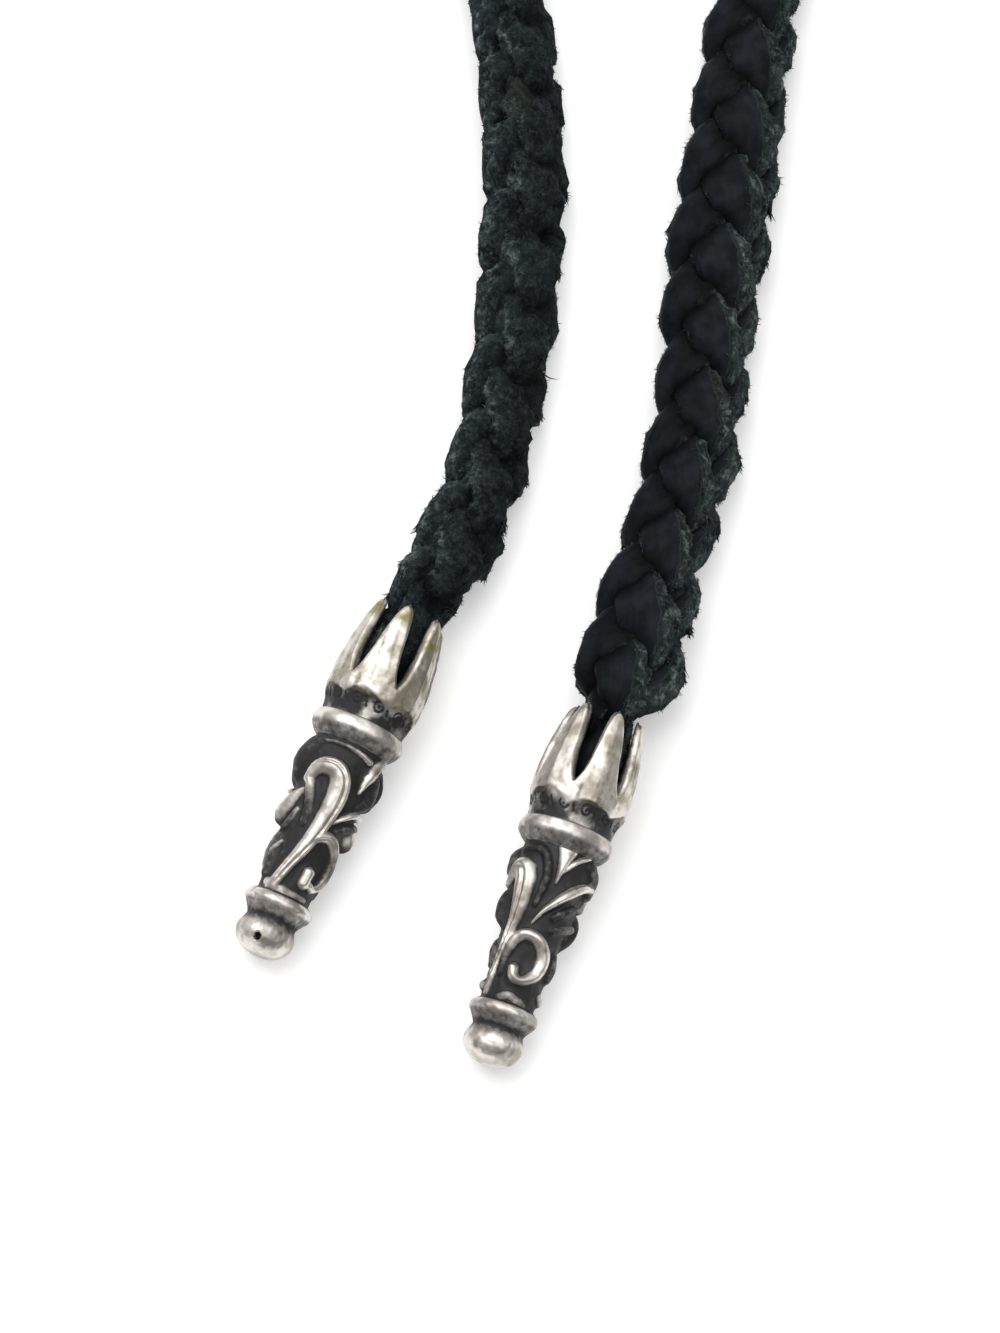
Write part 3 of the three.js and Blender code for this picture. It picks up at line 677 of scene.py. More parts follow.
def hide_material():
    """Grain and raw hide in one material, told apart by the grain attribute with a ragged
    border, which is pale where the dye has worn off and carries a painted sheen. All of it is
    painted darker deep in the plait, as painted shade."""
    material, tree, shader = new_material("black_hide", Specular_IOR_Level=0.07)
    place = add_node(tree, "ShaderNodeTexCoord")
    stripes_at = add_node(tree, "ShaderNodeMapping", {
        "Vector": place.outputs["UV"], "Scale": (0.15, 1.0, 1.0)})
    stripes = use_group(tree, MOTTLING, {
        "Vector": stripes_at.outputs[0], "Scale": 1800.0, "Low": 0.40, "High": 0.75})
    cloudy = use_group(tree, MOTTLING, {
        "Vector": place.outputs["Object"], "Scale": 520.0, "Detail": 7.0,
        "Low": 0.34, "High": 0.70})
    creases = use_group(tree, MOTTLING, {
        "Vector": place.outputs["UV"], "Scale": 1500.0, "Detail": 6.0, "Low": 0.45, "High": 0.75})
    frayed = use_group(tree, MOTTLING, {
        "Vector": place.outputs["Object"], "Scale": 1500.0, "Detail": 6.0,
        "Low": 0.35, "High": 0.65})
    grain, cut, open_hide = (attribute(tree, name) for name in ("grain", "cut", "open"))
    raw = use_group(tree, RAW_HIDE, {"Vector": place.outputs["Object"], "Cut": cut})
    fraying = math_node(tree, "SUBTRACT", frayed.outputs["Height"], 0.5)
    ragged = math_node(tree, "ADD", grain, math_node(tree, "MULTIPLY", fraying, BORDER_RAGGED))
    smooth, inner = (
        add_node(tree, "ShaderNodeMapRange", {"Value": ragged, "From Min": low, "From Max": high}
                 ).outputs["Result"] for low, high in ((RIM_FROM, RIM_TO), (RIM_TO, GRAIN_FULL)))
    striped = math_node(tree, "MULTIPLY", stripes.outputs["Mask"], STRIPE_SHARE)
    clouded = math_node(tree, "MULTIPLY", cloudy.outputs["Mask"], CLOUD_SHARE)
    tone = math_node(tree, "ADD", striped, clouded)
    dyed = mix_colours(tree, tone, GRAIN_DARK, GRAIN_LIGHT)
    # Pale grain border: worn dye and painted sheen
    grain_colour = mix_colours(tree, inner, WORN_RIM_AND_SHEEN, dyed)
    colour = mix_colours(tree, smooth, raw.outputs["Color"], grain_colour)
    # Painted shade: the colour falls towards SHADE deep in the plait, and on raw hide only part of
    # the way
    raw_lit = mix_values(tree, open_hide, RAW_IN_SHADE, 1.0)
    lit = mix_values(tree, smooth, raw_lit, open_hide)
    tree.links.new(mix_colours(tree, lit, SHADE, colour), shader.inputs["Base Color"])
    grain_rough = mix_values(tree, creases.outputs["Mask"], GRAIN_ROUGH, CREASE_ROUGH)
    tree.links.new(mix_values(tree, smooth, RAW_ROUGH, grain_rough), shader.inputs["Roughness"])
    stripe_height = math_node(tree, "MULTIPLY", stripes.outputs["Height"], STRIPE_HEIGHT)
    crease_height = math_node(tree, "MULTIPLY", creases.outputs["Height"], CREASE_HEIGHT)
    grain_height = math_node(tree, "ADD", stripe_height, crease_height)
    height = mix_values(tree, smooth, raw.outputs["Height"], grain_height)
    bump = add_node(tree, "ShaderNodeBump", {"Strength": 1.0, "Distance": RELIEF, "Height": height})
    tree.links.new(bump.outputs["Normal"], shader.inputs["Normal"])
    return material


plait.data.materials.append(hide_material())

# %% [markdown]
# ## Nap
# Raw hide is covered in fine matted fibres, and where it was cut some hang out in tufts. Hair
# particles could make them, but they would not reach the exported model, so each fibre is a
# closed sliver of its own, rooted on the faces of the laces that look outwards.

# %% Roots of the fibres
NAP_TRIES = 190000
EXPOSED_FROM, EXPOSED_TO = 0.74, 0.88
FACING_FROM, FACING_TO = 0.05, 0.5
WORN_FROM, WORN_TO, NAP_WORN = 0.30, 0.40, 0.45
FULL_FACE, NAP_LOWEST = 0.8 * MM, 0.3 * MM
EDGE_FUZZ = 2.0


def nap_roots(lace, grainy):
    """Places, outward directions and lace directions for fibres on one lace, and how much of
    a cut edge each stands on: random points of its raw faces, kept where the face looks away
    from the cord's line. The stretch behind the neck is worn and keeps fewer, and the edge
    that the grain is drawn over gets more."""
    rings, sides = lace.shape[:2]
    i = rng.integers(0, rings - 2, NAP_TRIES)
    j = rng.integers(0, sides, NAP_TRIES)
    k = (j + 1) % sides
    u, v = rng.random((2, NAP_TRIES, 1))
    near_edge = lace[i, j] * (1 - u) + lace[i + 1, j] * u
    far_edge = lace[i, k] * (1 - u) + lace[i + 1, k] * u
    place = near_edge * (1 - v) + far_edge * v
    way = unit(lace[i + 1, j] - lace[i, j])
    face = unit(np.cross(lace[i, k] - lace[i, j], way))
    radial = place - centre[i]
    radial -= (radial * ahead[i]).sum(axis=1)[:, None] * ahead[i]
    facing = (face * unit(radial)).sum(axis=1)
    raw = (1 - np.minimum(grainy[i, j], section_grain[j]) / 2
           - np.minimum(grainy[i, k], section_grain[k]) / 2)
    width = np.linalg.norm(lace[i, k] - lace[i, j], axis=1)
    exposed = ease(np.linalg.norm(radial, axis=1) / girth[i], EXPOSED_FROM, EXPOSED_TO)
    worn = NAP_WORN + (1 - NAP_WORN) * ease(np.abs(share[i] - 0.5), WORN_FROM, WORN_TO)
    chance = raw * ease(facing, FACING_FROM, FACING_TO) * exposed * worn
    chance *= np.minimum(width / FULL_FACE, 1)
    chance *= 1 + EDGE_FUZZ * (section_drawn - section_grain)[j] * grain_end[i]
    chance *= place[:, 2] > NAP_LOWEST
    chosen = np.flatnonzero(rng.random(NAP_TRIES) < chance)
    return place[chosen], face[chosen], way[chosen], section_cut[j[chosen]]


# %% Bent fibres
FIBRE_LOWEST = 0.06 * MM


def fibre_points(bends):
    """How many points a fibre of that many lengths has: three where each starts, and the tip."""
    return 3 * bends + 1


def add_fibres(name, root, start, end, long, thick, bends):
    """Bent three-sided fibres that narrow to a point, closed at the root. The line of each is
    root + long (t start + t^2 (end - start) / 2) for t from 0 to 1."""
    count = len(root)
    t = np.linspace(0, 1, bends + 1)[:, None, None]
    line = root + long[:, None] * (t * start + t ** 2 / 2 * (end - start))
    line[..., 2] = np.maximum(line[..., 2], FIBRE_LOWEST)
    first = unit(np.cross(start, end + 0.01 * rng.normal(size=start.shape)))
    second = np.cross(start, first)
    turns = np.arange(3) * 2 * math.pi / 3
    spokes = np.stack([math.cos(a) * first + math.sin(a) * second for a in turns])
    around = line[:-1, None] + (thick[:, None] * (1 - t[:-1]) ** 0.6)[:, None] * spokes
    points = np.concatenate([around.reshape(3 * bends, count, 3), line[-1:]]).transpose(1, 0, 2)
    sides = quads_at(*grid_numbers(bends - 1, 3), 3)
    last, after = 3 * bends - 3 + np.arange(3), 3 * bends - 3 + (np.arange(3) + 1) % 3
    ends = np.vstack([np.stack([last, after, np.full(3, 3 * bends)], axis=1), [[2, 1, 0]]])
    base = fibre_points(bends) * np.arange(count)[:, None, None]
    piece = new_piece(name, points.reshape(-1, 3), (base + sides).reshape(-1, 4),
                      (base + ends).reshape(-1, 3))
    return piece


# %% Short nap
# Millimetres: shortest, how much longer by chance, and how much longer still on a cut edge
NAP_SHORTEST, NAP_LONGER, NAP_ON_CUTS = 0.28, 0.34, 0.30
NAP_THINNEST, NAP_THICKER = 0.034, 0.030
NAP_SWIRL_LENGTH, NAP_SWIRL = 3.0 * MM, 2.6
NAP_ROOT_DEPTH = 0.06
NAP_BENDS = 2


def add_nap(name, place, face, way, cut):
    """Short fibres matted over the hide. Each lies along the face in a direction that drifts
    from place to place, and bends down towards its point."""
    count = len(place)
    turn = NAP_SWIRL * drift(place, NAP_SWIRL_LENGTH, 5) + 0.7 * rng.normal(size=count)
    flat = np.cos(turn)[:, None] * way + np.sin(turn)[:, None] * np.cross(face, way)
    lift = rng.uniform(0.15, 0.75, (count, 1)) + 0.6 * cut[:, None] * rng.random((count, 1))
    start = unit(flat + lift * face)
    end = unit(flat + (0.5 * lift - 0.65) * face + 0.7 * rng.normal(size=(count, 3)))
    long = (NAP_SHORTEST + (NAP_LONGER + NAP_ON_CUTS * cut) * rng.random(count) ** 2) * MM
    thick = (NAP_THINNEST + NAP_THICKER * rng.random(count)) * MM
    root = place - NAP_ROOT_DEPTH * MM * face
    piece = add_fibres(name, root, start, end, long, thick, NAP_BENDS)
    set_attribute(piece, "cut", np.repeat(cut, fibre_points(NAP_BENDS)))
    set_attribute(piece, "tone", np.repeat(rng.random(count) ** 3, fibre_points(NAP_BENDS)))
    return piece


# %% Colour of the fibres
FIBRES_PALER, FIBRES_PALER_ON_CUTS = 0.06, 0.3


def nap_material():
    """The colour of the raw hide under each fibre, some of them paler, most on cut edges."""
    material, tree, shader = new_material("hide_fibres", Roughness=0.9, Specular_IOR_Level=0.08)
    place = add_node(tree, "ShaderNodeTexCoord")
    tone, cut = (attribute(tree, name) for name in ("tone", "cut"))
    raw = use_group(tree, RAW_HIDE, {"Vector": place.outputs["Object"], "Cut": cut})
    on_cuts = math_node(tree, "MULTIPLY", cut, FIBRES_PALER_ON_CUTS)
    paler = math_node(tree, "MULTIPLY", tone, math_node(tree, "ADD", FIBRES_PALER, on_cuts))
    colour = mix_colours(tree, paler, raw.outputs["Color"], RAW_PALE)
    tree.links.new(colour, shader.inputs["Base Color"])
    return material


fibres = nap_material()
for k, (lace, grainy) in enumerate(zip(laces, grains)):
    nap = add_nap(f"nap_of_lace_{k + 1}", *nap_roots(lace, grainy))
    nap.data.materials.append(fibres)
    print(nap.name, len(nap.data.polygons), "faces")

# %% Tufts that hang from the cut edges
# Share of the way along the cord, turn from the cord's side in degrees, length in mm, fibres
TUFTS = [
    (0.0666, 5, 0.9, 40), (0.0618, -10, 0.7, 24), (0.0556, 0, 1.3, 34), (0.0511, 0, 1.2, 34),
    (0.0478, -8, 0.8, 24), (0.0450, 0, 2.1, 60), (0.0441, 8, 1.9, 46), (0.0375, 0, 0.9, 34),
    (0.0318, 10, 0.8, 24), (0.0262, 5, 1.2, 40), (0.0200, 0, 1.1, 34), (0.0128, 5, 1.6, 16),
    (0.0100, 0, 1.0, 34), (0.0165, 176, 0.8, 24), (0.0112, 184, 0.9, 30), (0.9226, 180, 1.6, 20),
    (0.9244, 172, 1.5, 60), (0.9252, 186, 1.1, 46), (0.9311, 180, 1.5, 46), (0.9347, 0, 1.3, 40),
    (0.9358, -6, 0.9, 24), (0.9470, 184, 0.7, 24), (0.9555, 180, 1.3, 40), (0.9597, 176, 1.7, 60),
    (0.9655, 182, 0.8, 34), (0.9640, 0, 1.0, 16), (0.9690, 0, 0.8, 24), (0.9722, 0, 0.9, 34),
    (0.9735, 180, 1.1, 40), (0.9778, 176, 1.2, 46), (0.9795, 184, 1.8, 40),
    (0.9812, 180, 1.0, 46), (0.9790, 0, 0.7, 24),
]
MORE_TUFTS, EDGE_TUFTS = 60, 90
TUFT_BENDS = 5
NEAR_SHARE = 0.0016


def tuft_roots(at_share, turn):
    """For a place on the cord, the point near it that stands out farthest, and the way out."""
    near = np.flatnonzero(np.abs(share - at_share) < NEAR_SHARE)
    out = math.cos(math.radians(turn)) * side[near] + math.sin(math.radians(turn)) * up[near]
    points = np.stack([lace[near] for lace in laces])
    reach = ((points - centre[near][None, :, None]) * out[None, :, None]).sum(axis=-1)
    _, ring, _ = np.unravel_index(reach.argmax(), reach.shape)
    return points.reshape(-1, 3)[reach.argmax()], out[ring], ahead[near[ring]]


def add_tufts():
    """Tufts of long fibres at the listed places, at random places on the rest of the loop, and
    short ones along both sides near the tips. The fibres of a tuft start side by side and
    droop together towards the tips."""
    along_cord = rng.uniform(0.08, 0.91, MORE_TUFTS)
    more = np.stack([along_cord, rng.uniform(-40, 220, MORE_TUFTS),
                     rng.uniform(0.5, 1.3, MORE_TUFTS), rng.integers(12, 36, MORE_TUFTS)], axis=1)
    from_end = rng.uniform(0.014, 0.080, EDGE_TUFTS)
    beside = np.stack([np.where(rng.random(EDGE_TUFTS) < 0.45, from_end, 1 - from_end),
                       180 * rng.integers(0, 2, EDGE_TUFTS) + rng.normal(0, 9, EDGE_TUFTS),
                       rng.uniform(0.45, 1.0, EDGE_TUFTS), rng.integers(8, 20, EDGE_TUFTS)], axis=1)
    tufts = np.vstack([TUFTS, more, beside])
    found = [tuft_roots(*tuft[:2]) for tuft in tufts]
    roots, outs, aheads = (np.array(column) for column in zip(*found))
    which = np.repeat(np.arange(len(tufts)), tufts[:, 3].astype(int))
    count = len(which)
    out, long = outs[which], tufts[which, 2] * MM
    down = np.where(tufts[which, :1] < 0.5, -1, 1) * aheads[which]
    spread = np.minimum(0.28 * MM, 0.25 * long)[:, None] * rng.normal(size=(count, 3))
    root = roots[which] - 0.22 * MM * out + spread - (spread * out).sum(axis=1)[:, None] * out
    sway = 0.25 * rng.normal(size=(len(tufts), 3))[which] + 0.20 * rng.normal(size=(count, 3))
    start, end = unit(0.30 * out + down + sway), unit(-0.05 * out + down + 2.2 * sway)
    lengths = long * rng.uniform(0.3, 1.0, count) ** 1.2
    thick = (0.035 + 0.065 * rng.random(count)) * MM
    piece = add_fibres("tufts_of_the_laces", root, start, end, lengths, thick, TUFT_BENDS)
    set_attribute(piece, "cut", np.repeat(rng.uniform(0, 0.4, count), fibre_points(TUFT_BENDS)))
    set_attribute(piece, "tone", np.repeat(rng.random(count) ** 3, fibre_points(TUFT_BENDS)))
    return piece


tufts = add_tufts()
tufts.data.materials.append(fibres)
print(tufts.name, len(tufts.data.polygons), "faces")

# %% [markdown]
# ## The silver tips
# Each tip is one casting: six claws that grip the plait, a band, a collar, a body with raised
# scrolls, a ring and a small ball. Its skin is one fine grid round the axis, which starts on
# the cup's floor, climbs the hollow, turns over the claws' rim and runs down the outside to
# the ball. The slots are cut out of the grid, and everything raised or sunk moves its radius.

# %% Profile of a tip, in millimetres from the mouth and from the axis
BODY_TOP, BODY_END = 14.3, 29.9
SLOT_DEPTH = 8.0
OUTSIDE = np.array([
    (0.0, 3.42), (0.6, 3.66), (1.8, 4.00), (4.0, 4.42), (6.4, 4.70), (8.2, 4.76), (9.2, 4.70),
    (9.5, 4.66), (10.4, 4.42), (11.2, 4.22), (11.8, 4.10), (11.95, 4.28), (12.3, 4.44),
    (12.75, 4.56), (13.1, 4.54), (13.45, 4.34), (13.9, 4.02), (14.15, 3.70), (14.3, 3.45),
    (16.5, 3.42), (20.0, 3.15), (22.5, 2.82), (25.0, 2.68), (29.7, 2.50), (29.95, 2.92),
    (30.15, 3.18), (30.55, 3.36), (30.85, 3.32), (31.4, 2.94), (31.9, 2.58), (32.3, 2.42),
    (32.7, 2.56), (33.2, 2.78), (33.7, 2.87), (34.2, 2.79), (34.7, 2.53), (35.1, 2.15),
    (35.4, 1.68), (35.6, 1.15), (35.7, 0.60), (35.73, 0.15),
])
HOLLOW_WALL = np.array([(0.0, 2.88), (1.8, 3.20), (4.0, 3.50), (8.0, 3.55), (9.6, 3.45),
                        (10.2, 3.20)])
HOLLOW_FLOOR = np.array([(10.3, 2.20), (10.3, 1.10), (10.3, 0.15)])
SLOT_HALF = np.array([(0.0, 1.76), (0.25, 1.50), (0.7, 1.30), (1.5, 1.14), (3.0, 1.00),
                      (5.2, 0.84), (6.7, 0.56), (7.5, 0.26), (8.0, 0.0)])
ROW_STEP, CORNER_SOFTNESS = 0.11, 0.07
SLOT_ROWS, RIM_ROWS = 66, 3
CLAWS = 6
COLUMNS_PER_CLAW = 34
# The columns from a slot's middle to its edge, as a share of those to the middle of the claw
EDGE_COLUMN = 4 / 17
COLUMNS = CLAWS * COLUMNS_PER_CLAW
CLAW_HALF = 180 / CLAWS
SOFT_STEP, SOFT_REACH = 0.02, 20


def softened(outline, width, step):
    """The corners of a polyline rounded: steps of SOFT_STEP along it, each the mean of its
    neighbours weighed by exp(-x^2 / 2 width^2)."""
    run = run_along(outline)
    fine = np.arange(0, run[-1], SOFT_STEP)
    line = np.stack([np.interp(fine, run, outline[:, k]) for k in range(2)], axis=1)
    reach = np.arange(-SOFT_REACH, SOFT_REACH + 1) * SOFT_STEP
    weights = np.exp(-(reach ** 2) / (2 * width ** 2))
    weights = weights / weights.sum()
    padded = np.pad(line, ((SOFT_REACH, SOFT_REACH), (0, 0)), mode="reflect", reflect_type="odd")
    smooth = np.stack([np.convolve(padded[:, k], weights, "valid") for k in range(2)], axis=1)
    return smooth[::max(1, int(round(step / SOFT_STEP)))]


def tip_rows():
    """Station and radius of every row, and the first row of the slots inside and outside."""
    outside = softened(OUTSIDE, CORNER_SOFTNESS, ROW_STEP)
    slot = np.linspace(0, SLOT_DEPTH, SLOT_ROWS)
    below = outside[outside[:, 0] > SLOT_DEPTH + ROW_STEP / 2]
    hollow = np.concatenate([HOLLOW_WALL, HOLLOW_FLOOR])[::-1]
    floor = hollow[hollow[:, 0] > SLOT_DEPTH]
    inner = np.stack([slot, np.interp(slot, HOLLOW_WALL[:, 0], HOLLOW_WALL[:, 1])], axis=1)[::-1]
    outer = np.stack([slot, np.interp(slot, outside[:, 0], outside[:, 1])], axis=1)
    turn = np.linspace(0, np.pi, RIM_ROWS + 2)[1:-1]
    lip = (inner[-1, 1] + outer[0, 1]) / 2
    half_lip = (outer[0, 1] - inner[-1, 1]) / 2
    rim = np.stack([-half_lip * np.sin(turn), lip - half_lip * np.cos(turn)], axis=1)
    rows = np.concatenate([floor, inner, rim, outer, below])
    return rows[:, 0], rows[:, 1], len(floor), len(floor) + SLOT_ROWS + RIM_ROWS


TIP_STATION, TIP_RADIUS, SLOT_IN, SLOT_OUT = tip_rows()
print("rows of a tip", len(TIP_STATION), "columns", COLUMNS)

# %% [markdown]
# The scrolls are ridges drawn through a few places. Each place has its angle round
# the body, its distance below the collar, half its width, its height and its polish. The same
# set is cast on the front and on the back. A ridge may have a groove along one flank, and the
# number before its places says how far out that runs: 0 is no groove, and 1 would be the edge.

# %% Scrolls: degrees, then millimetres, and polish from 0 to 1
SCROLLS = {
    "silver_tip_left": [
        # hooked stalk
        (-0.36, [(-43, 4.6, .50, .72, .9), (-35, 3.5, .72, .88, 1), (-22, 2.95, .90, .98, 1),
                 (-7, 2.9, .95, 1.02, 1), (5, 3.5, .95, 1.02, 1), (11, 4.6, .98, 1.0, 1),
                 (12.5, 5.8, .95, .98, 1), (11, 7.2, .86, .96, 1), (7.5, 8.7, .76, .95, 1),
                 (1.5, 10.2, .66, .90, 1), (-7, 11.7, .58, .85, 1), (-16, 13.0, .55, .80, 1),
                 (-25, 14.4, .56, .70, .9), (-31, 15.3, .64, .50, .8)]),
        # scoop inside the hook
        (0, [(-37, 4.9, .50, .62, .75), (-31, 5.8, .55, .55, .45), (-25, 7.0, .50, .42, .25),
             (-22, 8.6, .45, .32, .15)]),
        # dark shoulder
        (0, [(-50, .6, .7, .5, .1), (-66, 1.6, 1.1, .9, .1), (-78, 3.0, 1.2, 1.15, .12),
             (-80, 4.3, .8, .9, .12)]),
        # side lobe
        (0, [(-44, 5.6, .15, .45, .95), (-54, 6.4, .50, .80, 1), (-66, 7.3, .80, 1.05, .95),
             (-78, 8.3, .80, 1.20, .80), (-87, 8.9, .55, 1.00, .15)]),
        (0, [(-44, 7.6, .30, .35, .35), (-54, 8.9, .45, .45, .25), (-66, 9.9, .40, .40, .04)]),
        # lower left
        (0, [(-62, 10.5, .5, .45, .2), (-66, 12.2, .6, .5, .2), (-64, 14.0, .6, .45, .2)]),
        (0, [(-50, 10.9, .18, .45, .6), (-66, 11.9, .25, .6, .6)]),
        # low curl
        (0.35, [(-4, 11.6, .22, .40, .9), (2, 10.6, .32, .62, 1), (13, 9.5, .46, .80, 1),
                (31, 9.0, .58, .85, 1), (50, 9.4, .58, .85, .9), (66, 10.4, .52, .80, .5),
                (74, 11.8, .48, .78, .5), (70, 13.1, .38, .70, .8), (55, 13.9, .36, .66, .9),
                (40, 13.8, .44, .75, .95)]),
        (0, [(27, 12.7, .55, .86, 1), (26, 13.9, .55, .86, 1)]),
        # leaf tongue and the leaf below it
        (0, [(28, 7.6, .12, .35, .9), (40, 6.8, .27, .60, 1), (58, 6.0, .38, .75, 1),
             (78, 5.9, .42, .80, .9)]),
        (0, [(42, 8.1, .25, .40, .2), (60, 7.5, .45, .70, .25), (80, 7.0, .5, .9, .3)]),
        # dark leaf on the right
        (0, [(45, 1.9, .4, .4, .1), (68, 2.6, 1.0, .75, .1), (78, 4.2, .9, .9, .15),
             (62, 5.2, .4, .5, .12)]),
        # collar leaf
        (0, [(66, .2, .45, .60, .9), (55, 1.2, .62, .72, 1), (49, 2.3, .50, .66, 1),
             (45.5, 3.9, .12, .40, 1)]),
        (0, [(-60, .75, .20, .30, .4), (-20, .5, .20, .30, .35), (15, .6, .26, .40, .6),
             (38, .95, .36, .55, .95)]),
        # foot
        (0, [(-45, 14.9, .45, .35, .7), (-22, 15.2, .45, .40, .6), (-5, 15.2, .40, .30, .6),
             (50, 15.2, .25, .28, .4)]),
    ],
    "silver_tip_right": [
        # headed stalk
        (-0.05, [(-84, 4.6, .40, .60, .6), (-70, 3.5, .75, .80, .9), (-56, 2.9, 1.00, .98, 1),
                 (-44, 3.2, 1.15, 1.08, 1), (-39, 4.5, 1.02, 1.08, 1), (-37, 6.0, .80, 1.02, 1),
                 (-38.5, 7.6, .62, .95, 1), (-42.5, 9.5, .46, .88, 1), (-47, 11.4, .36, .78, .9),
                 (-52, 13.5, .32, .65, .9), (-57, 15.1, .32, .50, .9)]),
        # dark rim round the head
        (0, [(-62, 1.2, .3, .45, .15), (-45, .75, .35, .5, .12), (-25, .9, .42, .55, .12),
             (-12, 2.2, .42, .55, .12), (-9, 4.0, .40, .5, .15), (-14, 6.0, .3, .35, .2)]),
        # collar leaf
        (0, [(9, .0, .95, .70, 1), (8.5, 1.1, .60, .72, 1), (8, 2.2, .32, .66, 1),
             (7.5, 3.5, .08, .40, 1)]),
        (0, [(46, .0, .28, .60, .95), (27, .9, .26, .60, .95), (12, 2.3, .16, .50, .9)]),
        # leaf tongue
        (0, [(-8, 7.7, .12, .40, .8), (3, 6.4, .22, .65, .9), (15, 5.4, .36, .85, 1),
             (31, 4.1, .50, 1.0, 1), (55, 2.9, .50, .95, 1), (76, 2.6, .35, .90, .8)]),
        # dark leaves on the right
        (0, [(24, 6.6, .35, .45, .15), (42, 5.7, .5, .6, .2), (58, 5.0, .35, .5, .2)]),
        (0, [(34, 7.8, .4, .45, .15), (54, 7.2, .5, .6, .3), (78, 6.8, .5, .7, .4)]),
        (0, [(60, .7, .7, .6, .2), (76, 1.6, .7, .9, .3), (82, 3.2, .6, .8, .3)]),
        # low curl
        (0, [(-38, 12.9, .45, .4, .15), (-37, 11.3, .52, .6, .2), (-30, 10.0, .56, .80, .7),
             (-18, 9.1, .56, .88, 1), (-2, 8.85, .56, .92, 1), (15, 9.15, .60, .92, 1),
             (29, 10.0, .66, .92, 1), (35, 11.1, .66, .92, .9), (30.5, 12.2, .60, .92, .95),
             (17, 13.0, .50, .88, .9), (3, 13.3, .48, .84, .9), (-9, 13.0, .50, .88, 1),
             (-13, 12.3, .48, .84, 1)]),
        # dark edges
        (0, [(-64, 5.1, .6, .5, .12), (-76, 6.3, .8, 1.0, .15), (-76, 7.6, .7, 1.1, .15),
             (-64, 8.7, .4, .5, .12)]),
        (0, [(-70, 10.9, .4, .55, .3), (-68, 12.0, .5, .45, .3)]),
        (0, [(64, 9.7, .4, .4, .15), (78, 10.8, .6, .6, .25), (72, 12.1, .45, .5, .2)]),
        (0, [(68, 13.9, .4, .4, .6), (82, 14.3, .5, .5, .6)]),
        # foot
        (0, [(-24, 15.3, .40, .25, .3), (-6, 14.9, .42, .32, .45), (12, 15.1, .42, .30, .5),
             (30, 15.3, .35, .25, .3)]),
    ],
}

# %% Ridges over the body
SPINE_STEPS = 40
GROOVE_DEPTH, GROOVE_HALF = 0.30, 0.13
FRONT_ENDS, BACK_STARTS = 84, 91
JOIN_POWER = 6


def freehand(rows):
    """The rows joined by smooth cubic pieces (a uniform Catmull-Rom curve), ends included."""
    rows = np.array(rows, float)
    padded = np.concatenate([2 * rows[:1] - rows[1:2], rows, 2 * rows[-1:] - rows[-2:-1]])
    t = np.linspace(0, len(rows) - 1, SPINE_STEPS)
    i = np.minimum(t.astype(int), len(rows) - 2)
    u = (t - i)[:, None]
    p0, p1, p2, p3 = (padded[i + k] for k in range(4))
    return 0.5 * (2 * p1 + (p2 - p0) * u + (2 * p0 - 5 * p1 + 4 * p2 - p3) * u ** 2
                  + (3 * p1 - p0 - 3 * p2 + p3) * u ** 3)


def ridge(around, down, radius, groove, rows):
    """Height and polish of one ridge at places on the body. With u the distance from the
    nearest piece of its line over half its width, the height is rise (0.6 (1 - u^2)^0.6 +
    0.4 exp(-(u / 1.35)^2)), less a groove along one flank."""
    line = freehand(rows)
    a, b = line[:-1], line[1:]
    x = ((around[:, None] - a[None, :, 0] + 180) % 360 - 180) * np.pi / 180 * radius[:, None]
    y = down[:, None] - a[None, :, 1]
    dx = (b - a)[None, :, 0] * np.pi / 180 * radius[:, None]
    dy = np.broadcast_to((b - a)[None, :, 1], dx.shape)
    t = np.clip((x * dx + y * dy) / (dx ** 2 + dy ** 2), 0, 1)
    away = np.hypot(x - t * dx, y - t * dy)
    half = a[None, :, 2] + t * (b - a)[None, :, 2]
    nearest = np.argmin(away / half, axis=1)
    pick = (np.arange(len(around)), nearest)
    flank = np.sign(dx * y - dy * x)[pick]
    u = (away / half)[pick]
    rise, polish = (a[nearest, k] + t[pick] * (b - a)[nearest, k] for k in (3, 4))
    height = rise * (0.6 * (1 - np.minimum(u, 1) ** 2) ** 0.6 + 0.4 * np.exp(-(u / 1.35) ** 2))
    if groove:
        along = (nearest + t[pick]) / len(a)
        from_ends = np.minimum(along, 1 - along)
        cut = np.exp(-((flank * u - groove) / GROOVE_HALF) ** 2) * (u < 1)
        height -= GROOVE_DEPTH * rise * cut * ease(from_ends, 0, 0.12)
    return np.maximum(height, 0), polish * ease(height / rise, 0.16, 0.80)


def scrollwork(name, around, down, radius):
    """Height and polish of all scrolls together: the heights join as the sixth root of the sum
    of their sixth powers, and the polish follows the highest."""
    total, shine = np.full(len(around), 1e-9), np.zeros(len(around))
    for groove, rows in SCROLLS[name]:
        for turn in (0, 180):
            height, polish = ridge(around - turn, down, radius, groove, rows)
            from_front = np.abs((around - turn + 180) % 360 - 180)
            height *= 1 - ease(from_front, FRONT_ENDS, BACK_STARTS)
            total += height ** JOIN_POWER
            shine += height ** JOIN_POWER * polish
    return total ** (1 / JOIN_POWER), shine / total


# %% [markdown]
# ## Claws, band and balls
# The claws were bent in over the plait, so they are a little flat, with rounded edges. Below
# them runs a dark band with small marks, and one ball has a drilling, the other a gouge. Each
# could be cut out of a solid, but cutting a fine mesh leaves ragged edges. Here every one is a
# rise or a fall of the radius at its own places on the one grid, and only the slots are open.

# %% Columns that follow the slots
CLAW_TURN = {"silver_tip_left": -8.5, "silver_tip_right": 15.0}
WALL_SPLAY = 0.70
LEAST_RADIUS, LEAST_EDGE = 1.9, 0.5
SLOT_FADE = 1.5


